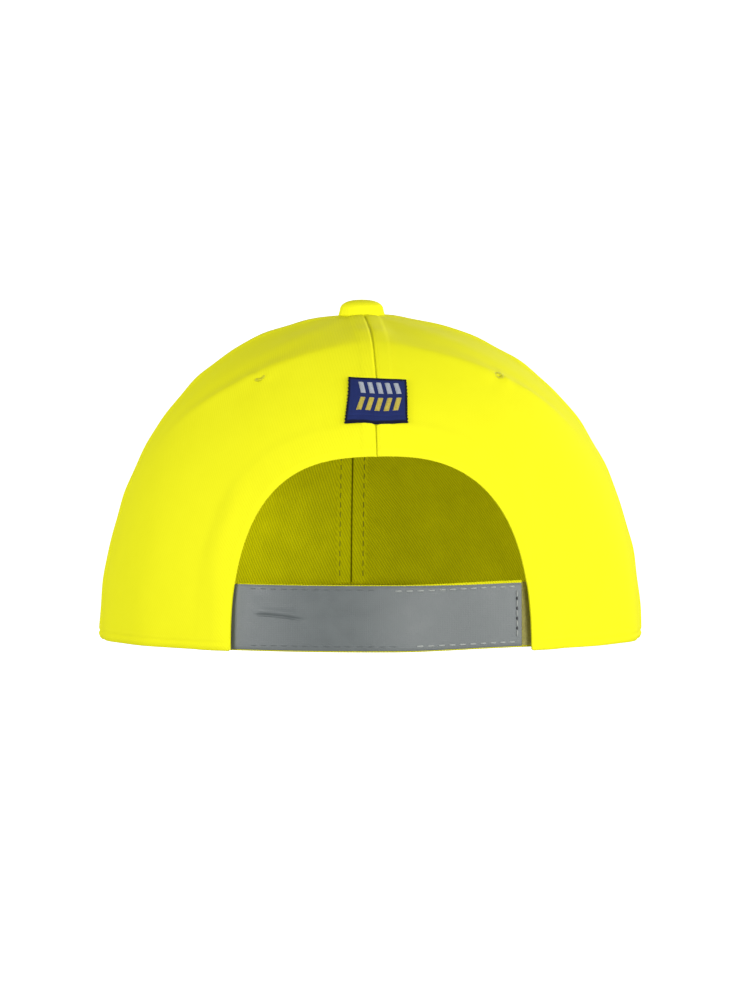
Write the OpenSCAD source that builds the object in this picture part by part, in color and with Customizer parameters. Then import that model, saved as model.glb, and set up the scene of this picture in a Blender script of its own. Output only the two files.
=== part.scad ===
// Bump cap: a four-panel twill cap with a peaked visor, a half-moon rear opening with a
// hook-and-loop closure, and a removable impact insert of a plastic shell on foam pads.
// Millimetres, +Z up. The origin is the centre of the head opening, in the plane that the cap
// stands on. +Y is the back of the head, -Y the visor, and +X the wearer's left.
//
// Every fabric layer follows one crown surface. A place on it is a turn around the crown, in
// degrees from the rear centre towards the wearer's left, a height above the rim, and a depth
// inwards from the outer face of the panels.

/* [Crown] */
// Half width of the crown at its rim
crown_half_w = 90.8; // [87:0.2:94]
// Half length of the crown at its rim, front to back
crown_half_l = 101; // [97:0.5:105]
// Height of the crown above its rim
crown_h = 108; // [104:1:114]
// Roundness of the side and rear profile, where 2 is an ellipse
profile_n = 2.17; // [2.1:0.01:2.3]
// Extra squareness of the front profile
front_fullness = 0.2; // [0:0.05:0.3]
// Thickness of a crown panel
panel_t = 1; // [0.8:0.1:1]
// Rise of the rim at the front centre
rim_rise = 4; // [2:0.5:5]
// Height of the sweatband
sweatband_h = 9.2; // [8:0.1:10]
// Thickness of the sweatband
sweatband_t = 2; // [1.5:0.1:2.5]
// Width of the pressed-open turnings along a seam
seam_band_w = 10.4; // [8:0.2:12]

/* [Rear opening] */
// Half width of the half-moon opening at the rim
opening_half_w = 50.3; // [46:0.1:52]
// Height of the half-moon opening
opening_h = 65; // [60:0.5:68]
// Roundness of the opening's outline, where 2 is an ellipse
opening_n = 2.6; // [2.2:0.05:3]
// Width of the facing sewn inside the opening's edge
facing_w = 12; // [8:0.5:13]

/* [Closure straps] */
// Height of both straps
strap_h = 22; // [18:0.5:24]
// Distance from the centre to the free end of the outer strap
outer_end = 46.5; // [42:0.5:47]
// Distance from the centre to the free end of the under strap
under_end = 38; // [30:1:44]
// Length of the hook patch
hook_l = 40; // [30:1:44]
// Thickness of a strap web
web_t = 0.8; // [0.6:0.1:0.8]

/* [Visor] */
// Length of the visor in front of the crown
visor_l = 68; // [60:1:75]
// Half width of the visor
visor_half_w = 86; // [84:0.5:87]
// Half angle of the crown that the visor is sewn to
visor_turn = 65; // [60:1:65]
// Height of the arch at the front edge
visor_arch = 14; // [10:1:20]
// Thickness of the visor board
board_t = 1.7; // [1.4:0.1:1.8]
// Thickness of each visor cover
cover_t = 0.6; // [0.4:0.05:0.6]

/* [Button and trims] */
// Diameter of the covered top button
button_d = 15; // [13:0.5:16]
// Height of the top button
button_h = 5.2; // [4.5:0.1:5.5]
// Sideways place of the crown's tip and its button
button_shift = 2.8; // [0:0.2:3]
// Width of the woven label
label_w = 19.6; // [16:0.2:22]
// Turn from the rear or front centre to an eyelet
eyelet_turn = 42; // [38:1:48]

/* [Impact insert] */
// Thickness of the moulded shell
shell_t = 2.2; // [1.8:0.1:2.4]
// Height of the shell's edge at the front
shell_edge_z = 62; // [60:0.5:66]
// Further rise of the shell's edge towards the rear
shell_rear_rise = 5; // [3:0.5:6]
// Thickness of the foam pads
pad_t = 5; // [4:0.5:6]

/* [Hidden] */

hi_vis = "#e8e61e";
hi_vis_inside = "#b6b40a";
navy = "#232f59";

seam_gap = 0.05; // degrees left free on each side of a seam
panel_rows = 16;
arch_cols = 14;
side_cols = 11;
front_cols = 19;
tip_share = 0.022; // size of the hole at the crown's tip, as a share of the rim

layer_gap = 0.2; // between fabric layers that are sewn together
tape_gap = 0.08; // between a strap's web and the tapes on it
moving_gap = 0.35; // between layers that come apart
turnings_t = 0.5;
facing_t = 0.6;
tape_t = 0.25;
pile_t = 0.8;

turnings_d = panel_t + layer_gap;
tape_d = turnings_d + facing_t + layer_gap;
web_d = tape_d + tape_t + tape_gap;
hook_d = web_d + web_t + tape_gap;
loop_d = hook_d + pile_t + moving_gap;
under_d = loop_d + pile_t + tape_gap;

hinge_x = opening_half_w - 3; // the straps turn about upright lines here
hinge_gap = 0.5;
anchor_x = opening_half_w + facing_w - 1.3;
strap_foot = 0.3; // height of a strap's lower edge

label_z = 74.9;
label_h = 14.9;
label_d = -0.65; // the woven label lies on the outside of the panels
label_t = 0.45;
eyelet_z = 89;
eyelet_r = 2.5;
eyelet_thread_r = 0.5;
care_turn = 104; // wearer's left side, just ahead of the seam
care_half_angle = 7;
care_z = [16, 38];
care_t = 0.25;

insert_tabs = [48, 126, 227, 305]; // turn of each hook-and-loop tab
tab_half_angle = 7;
tab_z = [73, 83];
tab_t = 0.55;

shell_d = 2.75;
shell_inner_d = shell_d + shell_t;
shell_tip_share = 0.075;
pad_d = shell_inner_d + 0.3;
pad_z = [69, 84];
crown_pad_shares = [0.42, 0.08];
visor_t = 2 * cover_t + board_t + 0.1;
visor_power = 0.93; // 1 makes the visor's outline an ellipse, and less makes it squarer

// Squareness of the profile at a turn
function profile(turn) = profile_n + (cos(turn) < 0 ? front_fullness * pow(cos(turn), 2) : 0);

// Size of the layer at a height, as a share of its size at the rim
function share(turn, z, depth) =
    pow(max(0, 1 - pow(z / (crown_h - depth), profile(turn))), 1 / profile(turn));

// Height at which a layer has a given share of its size
function height_at(turn, c, depth) =
    (crown_h - depth) * pow(1 - pow(c, profile(turn)), 1 / profile(turn));

// Point on a layer
function crown_point(turn, z, depth) =
    let (c = share(turn, z, depth))
    [
        (crown_half_w - depth) * c * sin(turn) + button_shift * pow(1 - c, 2),
        (crown_half_l - depth) * c * cos(turn),
        z
    ];

// Heights from z_low to z_high, closer together where the crown is flat
function heights(turn, z_low, z_high, depth, rows) =
    let (
        p = profile(turn),
        a = asin(pow(z_low / (crown_h - depth), p / 2)),
        b = asin(pow(z_high / (crown_h - depth), p / 2))
    )
    [for (j = [0:rows]) (crown_h - depth) * pow(sin(a + (b - a) * j / rows), 2 / p)];

// Column of points up a layer
function column(turn, z_low, z_high, depth, rows) =
    [for (z = heights(turn, z_low, z_high, depth, rows)) crown_point(turn, z, depth)];

// Turn at which the rear of a layer is x from the centre plane
function turn_at(x, z, depth) =
    let (c = share(0, z, depth))
    asin((x - button_shift * pow(1 - c, 2)) / ((crown_half_w - depth) * c));

// Point on the rear of a layer, x from the centre plane
function rear_point(x, z, depth) = crown_point(turn_at(x, z, depth), z, depth);

// Point on the outline of the opening, or on one that is larger by grow
function arch_point(angle, grow) =
    let (power = 2 / opening_n)
    [
        sign(cos(angle)) * (opening_half_w + grow) * pow(abs(cos(angle)), power),
        (opening_h + grow) * pow(abs(sin(angle)), power)
    ];

// Height of the rim, which rises a little over the visor
function rim_z(turn) =
    let (x = abs(crown_half_w * sin(turn)))
    cos(turn) < 0 ? visor_drop(x) * rim_rise : 0;

// Share of the arch height that is left at x from the centre plane
function visor_drop(x) = max(0, 1 - pow(min(abs(x) / visor_half_w, 1), 1.8));

// Triangles of one four-sided face, turned over if flip is true
function two_triangles(p, q, r, s, flip) = flip ? [[p, r, q], [p, s, r]] : [[p, q, r], [p, r, s]];

// Closed solid between an outer and an inner grid of points. A grid is a list of columns. A ring
// joins its last column to its first, and is_open(i, j) leaves a cell out.
module grid_solid(outer, inner, ring = false, flip = false, is_open = function(i, j) false) {
    cols = len(outer);
    rows = len(outer[0]);
    cells = ring ? cols : cols - 1;
    index = function(layer, i, j) (layer * cols + i % cols) * rows + j;
    is_cell = function(i, j)
        j >= 0 && j < rows - 1
        && (ring || (i >= 0 && i < cells))
        && !is_open((i + cells) % cells, j);
    quads = [
        for (i = [0:cells - 1], j = [0:rows - 2])
            if (is_cell(i, j))
                let (
                    a = index(0, i, j),
                    b = index(0, i + 1, j),
                    c = index(0, i + 1, j + 1),
                    d = index(0, i, j + 1),
                    under = cols * rows
                )
                each [
                    [a, b, c, d],
                    [a + under, d + under, c + under, b + under],
                    if (!is_cell(i, j - 1)) [b, a, a + under, b + under],
                    if (!is_cell(i, j + 1)) [d, c, c + under, d + under],
                    if (!is_cell(i - 1, j)) [a, d, d + under, a + under],
                    if (!is_cell(i + 1, j)) [c, b, b + under, c + under]
                ]
    ];
    points = [for (layer = [outer, inner], line = layer, p = line) p];
    faces = [for (q = quads) each two_triangles(q[0], q[1], q[2], q[3], flip)];
    polyhedron(points = points, faces = faces, convexity = 6);
}

// Patch of the crown between two turns and two heights, from depth d_out to depth d_in
module band(from, to, z_low, z_high, d_out, d_in, cols, rows) {
    turns = [for (i = [0:cols]) from + (to - from) * i / cols];
    grid_solid(
        [for (turn = turns) column(turn, z_low, z_high, d_out, rows)],
        [for (turn = turns) column(turn, z_low, z_high, d_in, rows)]
    );
}

// Patch on the rear of the crown between two distances from the centre plane
module rear_band(x_low, x_high, z_low, z_high, d_out, d_in, cols, rows) {
    xs = [for (i = [0:cols]) x_low + (x_high - x_low) * i / cols];
    zs = [for (j = [0:rows]) z_low + (z_high - z_low) * j / rows];
    grid_solid(
        [for (x = xs) [for (z = zs) rear_point(x, z, d_out)]],
        [for (x = xs) [for (z = zs) rear_point(x, z, d_in)]]
    );
}

// Rear quarter of the crown, with its half of the opening. side is 1 on the left, -1 on the right.
module rear_panel(side) {
    arch = [for (i = [0:arch_cols]) arch_point(90 - 90 * i / arch_cols, 0)];
    edge_turn = turn_at(opening_half_w, 0, 0);
    side_turns = [
        for (i = [1:side_cols]) edge_turn + (90 - seam_gap - edge_turn) * i / side_cols
    ];
    layer = function(depth)
        let (z_top = height_at(0, tip_share, depth))
        [
            for (p = arch)
                let (turn = max(seam_gap, abs(turn_at(side * p[0], p[1], depth))))
                column(side * turn, p[1], z_top, depth, panel_rows),
            for (turn = side_turns) column(side * turn, 0, z_top, depth, panel_rows)
        ];
    grid_solid(layer(0), layer(panel_t), flip = side < 0);
}

// Front quarter of the crown
module front_panel(side) {
    turns = [
        for (i = [0:front_cols]) 90 + seam_gap + (90 - 2 * seam_gap) * i / front_cols
    ];
    layer = function(depth)
        [
            for (turn = turns)
                column(
                    side * turn, rim_z(turn), height_at(turn, tip_share, depth), depth, panel_rows
                )
        ];
    grid_solid(layer(0), layer(panel_t), flip = side < 0);
}

// Turnings pressed open along the inside of a seam, from z_low up to the tip
module seam_turnings(turn, z_low) {
    half_size = abs(sin(turn)) > 0.5 ? crown_half_l : crown_half_w;
    layer = function(depth)
        let (zs = heights(turn, z_low, height_at(turn, 0.12, depth), depth, 12))
        [
            for (s = [-1, 0, 1])
                [
                    for (z = zs)
                        let (out = s * seam_band_w / 2 / ((half_size - depth) * share(turn, z, depth)))
                        crown_point(turn + asin(out), z, depth)
                ]
        ];
    grid_solid(layer(turnings_d), layer(turnings_d + turnings_t));
}

module opening_facing() {
    cols = 40;
    rows = 3;
    layer = function(depth)
        [
            for (i = [0:cols])
                [
                    for (j = [0:rows])
                        let (p = arch_point(180 * i / cols, facing_w * j / rows))
                        rear_point(p[0], p[1], depth)
                ]
        ];
    color(hi_vis_inside) grid_solid(layer(turnings_d), layer(turnings_d + facing_t), flip = true);
}

module sweatband() {
    cols = 54;
    start = turn_at(anchor_x + 4.5, 0, 0);
    foot = 0.5;
    depth = panel_t + 0.25;
    turns = [for (i = [0:cols]) start + (360 - 2 * start) * i / cols];
    layer = function(d)
        [
            for (turn = turns)
                let (z = rim_z(turn) + foot)
                column(turn, z, z + sweatband_h - foot * rim_z(turn) / rim_rise, d, 2)
        ];
    color("#c9c73a") grid_solid(layer(depth), layer(depth + sweatband_t));
}

// Point on the visor, across from -1 to 1 and out from 0 at the crown to 1 at the front edge
function visor_point(across, out, inset, lift) =
    let (
        turn = 180 - visor_turn * across,
        root = [(crown_half_w + 0.2) * sin(turn), (crown_half_l + 0.2) * cos(turn)],
        start_y = crown_half_l * cos(visor_turn),
        reach = crown_half_l + visor_l - start_y - inset,
        angle = 90 - 90 * across,
        edge = [
            (visor_half_w - inset) * sign(cos(angle)) * pow(abs(cos(angle)), visor_power),
            -start_y - reach * pow(abs(sin(angle)), visor_power)
        ],
        full = out * (1 - pow(abs(across), 14)),
        p = root + (edge - root) * full,
        ahead = max(0, min(1, (-p[1] - 80) / (crown_half_l + visor_l - 80))),
        centre_z = rim_rise + (visor_arch - rim_rise) * pow(ahead, 1.6)
    )
    [p[0], p[1], centre_z * visor_drop(p[0]) + lift];

// One layer of the visor, from lift_low to lift_high above its underside
module visor_layer(lift_low, lift_high, inset) {
    cols = 28;
    rows = 6;
    layer = function(lift)
        [
            for (i = [0:cols])
                [for (j = [0:rows]) visor_point(2 * i / cols - 1, j / rows, inset, lift)]
        ];
    grid_solid(layer(lift_high), layer(lift_low), flip = true);
}

module visor_board() {
    color("#d9d9d2") visor_layer(cover_t + 0.05, cover_t + 0.05 + board_t, 1.8);
}

module visor_top_cover() {
    color(hi_vis) visor_layer(visor_t - cover_t, visor_t, 0);
}

module visor_under_cover() {
    color(hi_vis_inside) visor_layer(0, cover_t, 0);
}

// Half outline of a button dome of radius r and height h on a straight wall
function dome(r, h, wall) =
    [for (a = [0:10:90]) [r * cos(a), wall + (h - wall) * sin(a)]];

module at_tip(z) {
    translate([button_shift, 0, z]) children();
}

module button_cover() {
    r = button_d / 2;
    fold_in = 2.2;
    t = 0.5;
    color(hi_vis)
        at_tip(crown_h + 0.1)
            rotate_extrude($fn = 48)
                difference() {
                    polygon(concat([[0, 0], [r - 0.6, 0]], dome(r, button_h, 1.6)));
                    polygon(concat([[0, t], [r - t, t]], dome(r - t, button_h - t, 1.6)));
                    translate([0, -0.1]) square([r - fold_in, t + 0.2]);
                }
}

module button_shell() {
    r = button_d / 2 - 0.6;
    h = button_h - 0.6;
    t = 0.8;
    boss_r = 2.4;
    hole_r = 1.3;
    color("silver")
        at_tip(crown_h + 0.1)
            rotate_extrude($fn = 48)
                difference() {
                    polygon(concat([[0, 0.7], [r, 0.7]], dome(r, h, 1.8)));
                    difference() {
                        polygon(concat([[0, 0.6], [r - t, 0.6]], dome(r - t, h - t, 1.8)));
                        square([boss_r, button_h]);
                    }
                    square([hole_r, h - 1.2]);
                }
}

module button_rivet() {
    pin_r = 1.2;
    head_r = 4.2;
    head_z = crown_h - panel_t - 1.1;
    color("silver") {
        at_tip(head_z) cylinder(r = pin_r, h = crown_h + button_h - 2 - head_z, $fn = 32);
        at_tip(head_z) cylinder(r = head_r, h = 0.8, $fn = 48);
    }
}

// Angle from upright of the line that stands square on the crown
function lean_at(turn, z) =
    let (
        size = norm([crown_half_w * sin(turn), crown_half_l * cos(turn)]),
        fall = size / crown_h * pow(z / crown_h / share(turn, z, 0), profile(turn) - 1)
    )
    atan(1 / fall);

module vent_eyelets() {
    color(hi_vis)
        for (turn = [eyelet_turn, -eyelet_turn, 180 - eyelet_turn, eyelet_turn - 180])
            translate(crown_point(turn, eyelet_z, -eyelet_thread_r - 0.15))
                rotate([0, 0, 90 - turn])
                    rotate([0, lean_at(turn, eyelet_z), 0])
                        rotate_extrude($fn = 32)
                            translate([eyelet_r, 0]) circle(eyelet_thread_r, $fn = 16);
}

module woven_label() {
    half = label_w / 2;
    color(navy) rear_band(-half, half, label_z, label_z + label_h, label_d, label_d + label_t, 6, 6);
}

module inner_label() {
    from = care_turn - care_half_angle;
    to = care_turn + care_half_angle;
    color("white") band(from, to, care_z[0], care_z[1], turnings_d, turnings_d + care_t, 4, 4);
}

// One tab at each place of the insert's fastening, smaller all round by inset
module tabs(inset, depth) {
    half = tab_half_angle - inset;
    for (turn = insert_tabs)
        band(turn - half, turn + half, tab_z[0] + inset, tab_z[1] - inset, depth, depth + tab_t, 4, 3);
}

module insert_loop_tabs() {
    color("#8a8750") tabs(0, turnings_d);
}

module insert_hook_tabs() {
    color("#4a4a3c") tabs(1, shell_d - tab_t - tape_gap);
}

module left_strap_anchor() {
    color("#e0de30")
        rear_band(hinge_x + hinge_gap, anchor_x, strap_foot, strap_h, tape_d, web_d + web_t, 6, 3);
}

// Sewn end of the under strap, which runs outwards to lie on the facing
module right_strap_anchor() {
    cols = 8;
    rows = 3;
    run = 7;
    xs = [for (i = [0:cols]) -anchor_x + (anchor_x - hinge_x - hinge_gap) * i / cols];
    zs = [for (j = [0:rows]) strap_foot + (strap_h - strap_foot) * j / rows];
    part = function(x) min(1, max(0, (-x - hinge_x - 1) / run));
    ease = function(x) part(x) * part(x) * (3 - 2 * part(x));
    layer = function(depth)
        [
            for (x = xs)
                [for (z = zs) rear_point(x, z, depth - (loop_d - tape_d) * ease(x))]
        ];
    color("#807d48") grid_solid(layer(loop_d), layer(under_d + web_t));
}

module outer_strap_web() {
    color("#e0de30") rear_band(-outer_end, hinge_x, strap_foot, strap_h, web_d, web_d + web_t, 30, 3);
}

module reflective_tape() {
    start = -outer_end + 0.3;
    color("#7d8384")
        rear_band(start, hinge_x, 2 * strap_foot, strap_h - 1.2, tape_d, tape_d + tape_t, 30, 3);
}

module hook_patch() {
    start = -outer_end + 1.5;
    margin = 3;
    color("#55554a")
        rear_band(start, start + hook_l, margin, strap_h - margin, hook_d, hook_d + pile_t, 14, 3);
}

module under_strap_web() {
    color("#e0de30")
        rear_band(-hinge_x, under_end, strap_foot, strap_h, under_d, under_d + web_t, 28, 3);
}

module loop_patch() {
    inset = 0.5;
    color("#807d48")
        rear_band(
            -hinge_x, under_end - 2, strap_foot + inset, strap_h - inset, loop_d, loop_d + pile_t, 28, 3
        );
}

// Height of the shell's edge
function shell_z(turn) = shell_edge_z + shell_rear_rise * (1 + cos(turn)) / 2;

module bump_shell() {
    cols = 48;
    rows = 9;
    is_vent = function(i, j)
        ((i % 6 == 2 || i % 6 == 3) && (j == 3 || j == 4)) || (i % 12 == 6 && j == 6);
    layer = function(depth)
        [
            for (i = [0:cols - 1])
                let (turn = 360 * i / cols)
                let (z_top = height_at(turn, shell_tip_share, depth))
                column(turn, shell_z(turn), z_top, depth, rows)
        ];
    color("#2b2d30") grid_solid(layer(shell_d), layer(shell_inner_d), ring = true, is_open = is_vent);
}

module crown_pad() {
    cols = 36;
    rows = 4;
    layer = function(depth)
        [
            for (i = [0:cols - 1])
                let (turn = 360 * i / cols)
                let (z_low = height_at(turn, crown_pad_shares[0], depth))
                let (z_top = height_at(turn, crown_pad_shares[1], depth))
                column(turn, z_low, z_top, depth, rows)
        ];
    color("#3a3a3a") grid_solid(layer(pad_d), layer(pad_d + pad_t), ring = true);
}

// Foam pad inside the shell's wall, centred at a turn
module wall_pad(turn, half_angle) {
    color("#3a3a3a")
        band(turn - half_angle, turn + half_angle, pad_z[0], pad_z[1], pad_d, pad_d + pad_t, 8, 4);
}

module left_rear_panel() {
    color(hi_vis) rear_panel(1);
}

module right_rear_panel() {
    color(hi_vis) rear_panel(-1);
}

module left_front_panel() {
    color(hi_vis) front_panel(1);
}

module right_front_panel() {
    color(hi_vis) front_panel(-1);
}

module rear_seam_turnings() {
    color(hi_vis_inside) seam_turnings(0, opening_h + facing_w + 0.5);
}

module front_seam_turnings() {
    color(hi_vis_inside) seam_turnings(180, rim_rise + sweatband_h + 0.6);
}

module left_seam_turnings() {
    color(hi_vis_inside) seam_turnings(90, sweatband_h + 1.2);
}

module right_seam_turnings() {
    color(hi_vis_inside) seam_turnings(-90, sweatband_h + 1.2);
}

module front_pad() {
    wall_pad(180, 24);
}

module rear_pad() {
    wall_pad(0, 22);
}

module left_side_pad() {
    wall_pad(90, 22);
}

module right_side_pad() {
    wall_pad(-90, 22);
}

left_rear_panel();
right_rear_panel();
left_front_panel();
right_front_panel();
rear_seam_turnings();
front_seam_turnings();
left_seam_turnings();
right_seam_turnings();
opening_facing();
sweatband();
visor_board();
visor_top_cover();
visor_under_cover();
button_shell();
button_cover();
button_rivet();
vent_eyelets();
woven_label();
inner_label();
insert_loop_tabs();
left_strap_anchor();
right_strap_anchor();
outer_strap_web();
reflective_tape();
hook_patch();
under_strap_web();
loop_patch();
bump_shell();
insert_hook_tabs();
crown_pad();
front_pad();
rear_pad();
left_side_pad();
right_side_pad();
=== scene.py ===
"""Looks of a high-visibility bump cap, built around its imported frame.

Everything is in metres in the frame's own axes: +Y is the back of the head, +X the wearer's
left and +Z up. A place on the crown is a turn about Z from the rear centre towards the
wearer's left, a height above the rim, and a depth inwards from the outer face of the panels.
"""
import logging
import math
from dataclasses import dataclass, field
from enum import Enum
from typing import Any, Callable

import bmesh
import bpy
import numpy as np
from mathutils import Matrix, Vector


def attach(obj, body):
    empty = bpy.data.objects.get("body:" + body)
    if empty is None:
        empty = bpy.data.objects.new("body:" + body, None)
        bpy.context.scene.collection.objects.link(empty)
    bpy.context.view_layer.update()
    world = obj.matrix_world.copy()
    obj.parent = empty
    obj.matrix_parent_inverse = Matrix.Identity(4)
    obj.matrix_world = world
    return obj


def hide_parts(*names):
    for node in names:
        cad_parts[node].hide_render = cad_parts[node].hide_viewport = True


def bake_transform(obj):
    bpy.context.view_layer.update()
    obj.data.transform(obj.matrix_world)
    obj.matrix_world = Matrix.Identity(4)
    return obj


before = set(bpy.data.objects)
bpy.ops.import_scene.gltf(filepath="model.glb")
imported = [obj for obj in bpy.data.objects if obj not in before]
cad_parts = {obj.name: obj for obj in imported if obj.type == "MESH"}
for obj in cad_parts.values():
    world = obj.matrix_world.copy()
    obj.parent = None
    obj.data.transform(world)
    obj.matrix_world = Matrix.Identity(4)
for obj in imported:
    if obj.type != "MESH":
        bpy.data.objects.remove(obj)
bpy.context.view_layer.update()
LOG = logging.getLogger("bump_cap")

Array = np.ndarray
Colour = tuple[float, float, float]
MM = 0.001
PI = math.pi


# ---------------------------------------------------------------- numbers and curves


def ease(value: Array | float, low: float, high: float) -> Array:
    """Smooth step from 0 at low to 1 at high.

    Args:
        value: What is compared with the two limits.
        low: Where the step starts.
        high: Where the step ends, which may be under low for a falling step.

    Returns:
        The share of the step that is done, from 0 to 1.
    """
    t = np.clip((np.asarray(value, float) - low) / (high - low), 0, 1)
    return t * t * (3 - 2 * t)


def bump(value: Array | float, centre: Array | float, width: float) -> Array:
    """Bell curve of height 1 at centre, which is near 0 at twice the width away."""
    return np.exp(-(((np.asarray(value, float) - centre) / width) ** 2))


def unit(vectors: Array) -> Array:
    """Vectors of the same directions and length 1."""
    size = np.linalg.norm(vectors, axis=-1, keepdims=True)
    return vectors / np.maximum(size, 1e-12)


def packed_steps(count: int, dense: float, share: float) -> Array:
    """Steps from 0 to 1 that lie closer together near both ends.

    Args:
        count: How many steps there are.
        dense: Part of the length at each end that is finer.
        share: Part of the steps that each end gets.

    Returns:
        The places of the steps, from 0 to 1.
    """
    k = max(3, int(count * share))
    ends = np.linspace(0, dense, k)
    middle = np.linspace(dense, 1 - dense, count - 2 * k + 2)
    return np.concatenate([ends[:-1], middle, 1 - ends[::-1][1:]])


# ---------------------------------------------------------------- mesh building


@dataclass
class Patchwork:
    """Points and four-sided faces of one piece, gathered part by part."""

    points: list[Array] = field(default_factory=list)
    quads: list[Array] = field(default_factory=list)
    slots: list[Array] = field(default_factory=list)
    cloth: list[Array] = field(default_factory=list)
    count: int = 0

    def add(self, points: Array, quads: Array, slots: Array | int = 0,
            cloth: Array | None = None) -> None:
        """Adds one part.

        Args:
            points: Its points, one row each.
            quads: Its faces, as rows of four point numbers that start at 0.
            slots: The finish of each face, or one for all of them.
            cloth: The place of each point on the flat cloth, in metres.
        """
        points = np.asarray(points, float).reshape(-1, 3)
        quads = np.asarray(quads, np.int64).reshape(-1, 4)
        self.points.append(points)
        self.quads.append(quads + self.count)
        self.slots.append(np.broadcast_to(np.asarray(slots), (len(quads),)))
        self.cloth.append(points[:, :2] if cloth is None else np.reshape(cloth, (-1, 2)))
        self.count += len(points)

    def build(self, name: str, finishes: list[bpy.types.Material],
              smooth: bool = True) -> bpy.types.Object:
        """Makes the object.

        Args:
            name: The piece's name.
            finishes: Its materials, in the order that the slots name them.
            smooth: Whether its faces are shaded smooth.

        Returns:
            The new object, which stands at the origin.
        """
        points = np.concatenate(self.points)
        quads = np.concatenate(self.quads)
        mesh = bpy.data.meshes.new(name)
        mesh.vertices.add(len(points))
        mesh.vertices.foreach_set("co", points.astype(np.float32).ravel())
        mesh.loops.add(quads.size)
        mesh.loops.foreach_set("vertex_index", quads.astype(np.int32).ravel())
        mesh.polygons.add(len(quads))
        mesh.polygons.foreach_set("loop_start", np.arange(0, quads.size, 4, dtype=np.int32))
        mesh.polygons.foreach_set("material_index", np.concatenate(self.slots).astype(np.int32))
        mesh.polygons.foreach_set("use_smooth", np.full(len(quads), smooth))
        mesh.update(calc_edges=True)
        layer = mesh.uv_layers.new(name="cloth")
        cloth = np.concatenate(self.cloth)[quads.ravel()]
        layer.data.foreach_set("uv", cloth.astype(np.float32).ravel())
        mesh.validate()
        for finish in finishes:
            mesh.materials.append(finish)
        piece = bpy.data.objects.new(name, mesh)
        bpy.context.scene.collection.objects.link(piece)
        return piece


def closed_sheet(work: Patchwork, outer: Array, inner: Array, cloth: Array | None = None,
                 inside: int = 0, flip: bool = False) -> None:
    """Adds a sheet of cloth between an outer and an inner grid, with its long edges rolled over.

    Args:
        work: What the sheet is added to.
        outer: Points of the outer face, as columns of rows.
        inner: Points of the inner face, in the same order.
        cloth: Place of each outer point on the flat cloth.
        inside: Slot of the finish on the inner face.
        flip: Whether the grid runs the other way round, as on the right half.
    """
    cols, rows = outer.shape[:2]
    if cloth is None:
        across = np.linalg.norm(np.diff(outer[:, rows // 2], axis=0), axis=1)
        along = np.linalg.norm(np.diff(outer[cols // 2], axis=0), axis=1)
        cloth = np.stack(np.meshgrid(np.append(0, np.cumsum(across)),
                                     np.append(0, np.cumsum(along)), indexing="ij"), -1)
    half = (outer - inner) / 2
    middle = (outer + inner) / 2
    loop, places = [outer], [cloth]
    for end, neighbour, order in ((-1, -2, (60, 120)), (0, 1, (120, 60))):
        size = np.linalg.norm(half[:, end], axis=1, keepdims=True)
        away = unit(outer[:, end] - outer[:, neighbour]) * size
        roll = [middle[:, end] + half[:, end] * math.cos(math.radians(a))
                + away * math.sin(math.radians(a)) for a in order]
        roll = np.stack(roll, 1)
        if end == -1:
            loop += [roll, inner[:, ::-1]]
            places += [np.repeat(cloth[:, -1:], 2, 1), cloth[:, ::-1]]
        else:
            loop.append(roll)
            places.append(np.repeat(cloth[:, :1], 2, 1))
    ring = np.concatenate(loop, 1)
    total = ring.shape[1]
    i, j = np.meshgrid(np.arange(cols - 1), np.arange(total), indexing="ij")
    k = (j + 1) % total
    faces = np.stack([i * total + j, (i + 1) * total + j, (i + 1) * total + k, i * total + k], -1)
    slots = np.where((j >= rows + 2) & (j < 2 * rows + 1), inside, 0)
    ends = []
    for column, turned in ((0, True), (cols - 1, False)):
        base = column * total
        a = np.arange(rows - 1)
        b = 2 * rows + 1 - a
        strip = np.stack([base + a, base + a + 1, base + b - 1, base + b], -1)
        corner = [[base + rows - 1, base + rows, base + rows + 1, base + rows + 2],
                  [base, base + 2 * rows + 1, base + 2 * rows + 2, base + 2 * rows + 3]]
        side = np.concatenate([strip, [corner[0]], [corner[1][:1] + corner[1][:0:-1]]])
        ends.append(side if turned != flip else side[:, ::-1])
        ends[-1] = ends[-1][:, ::-1]
    faces = faces.reshape(-1, 4)
    if flip:
        faces = faces[:, ::-1]
    faces = np.concatenate([faces, *ends])
    slots = np.concatenate([slots.ravel(), np.zeros(len(faces) - slots.size, int)])
    work.add(ring.reshape(-1, 3), faces, slots, np.concatenate(places, 1).reshape(-1, 2))


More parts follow.
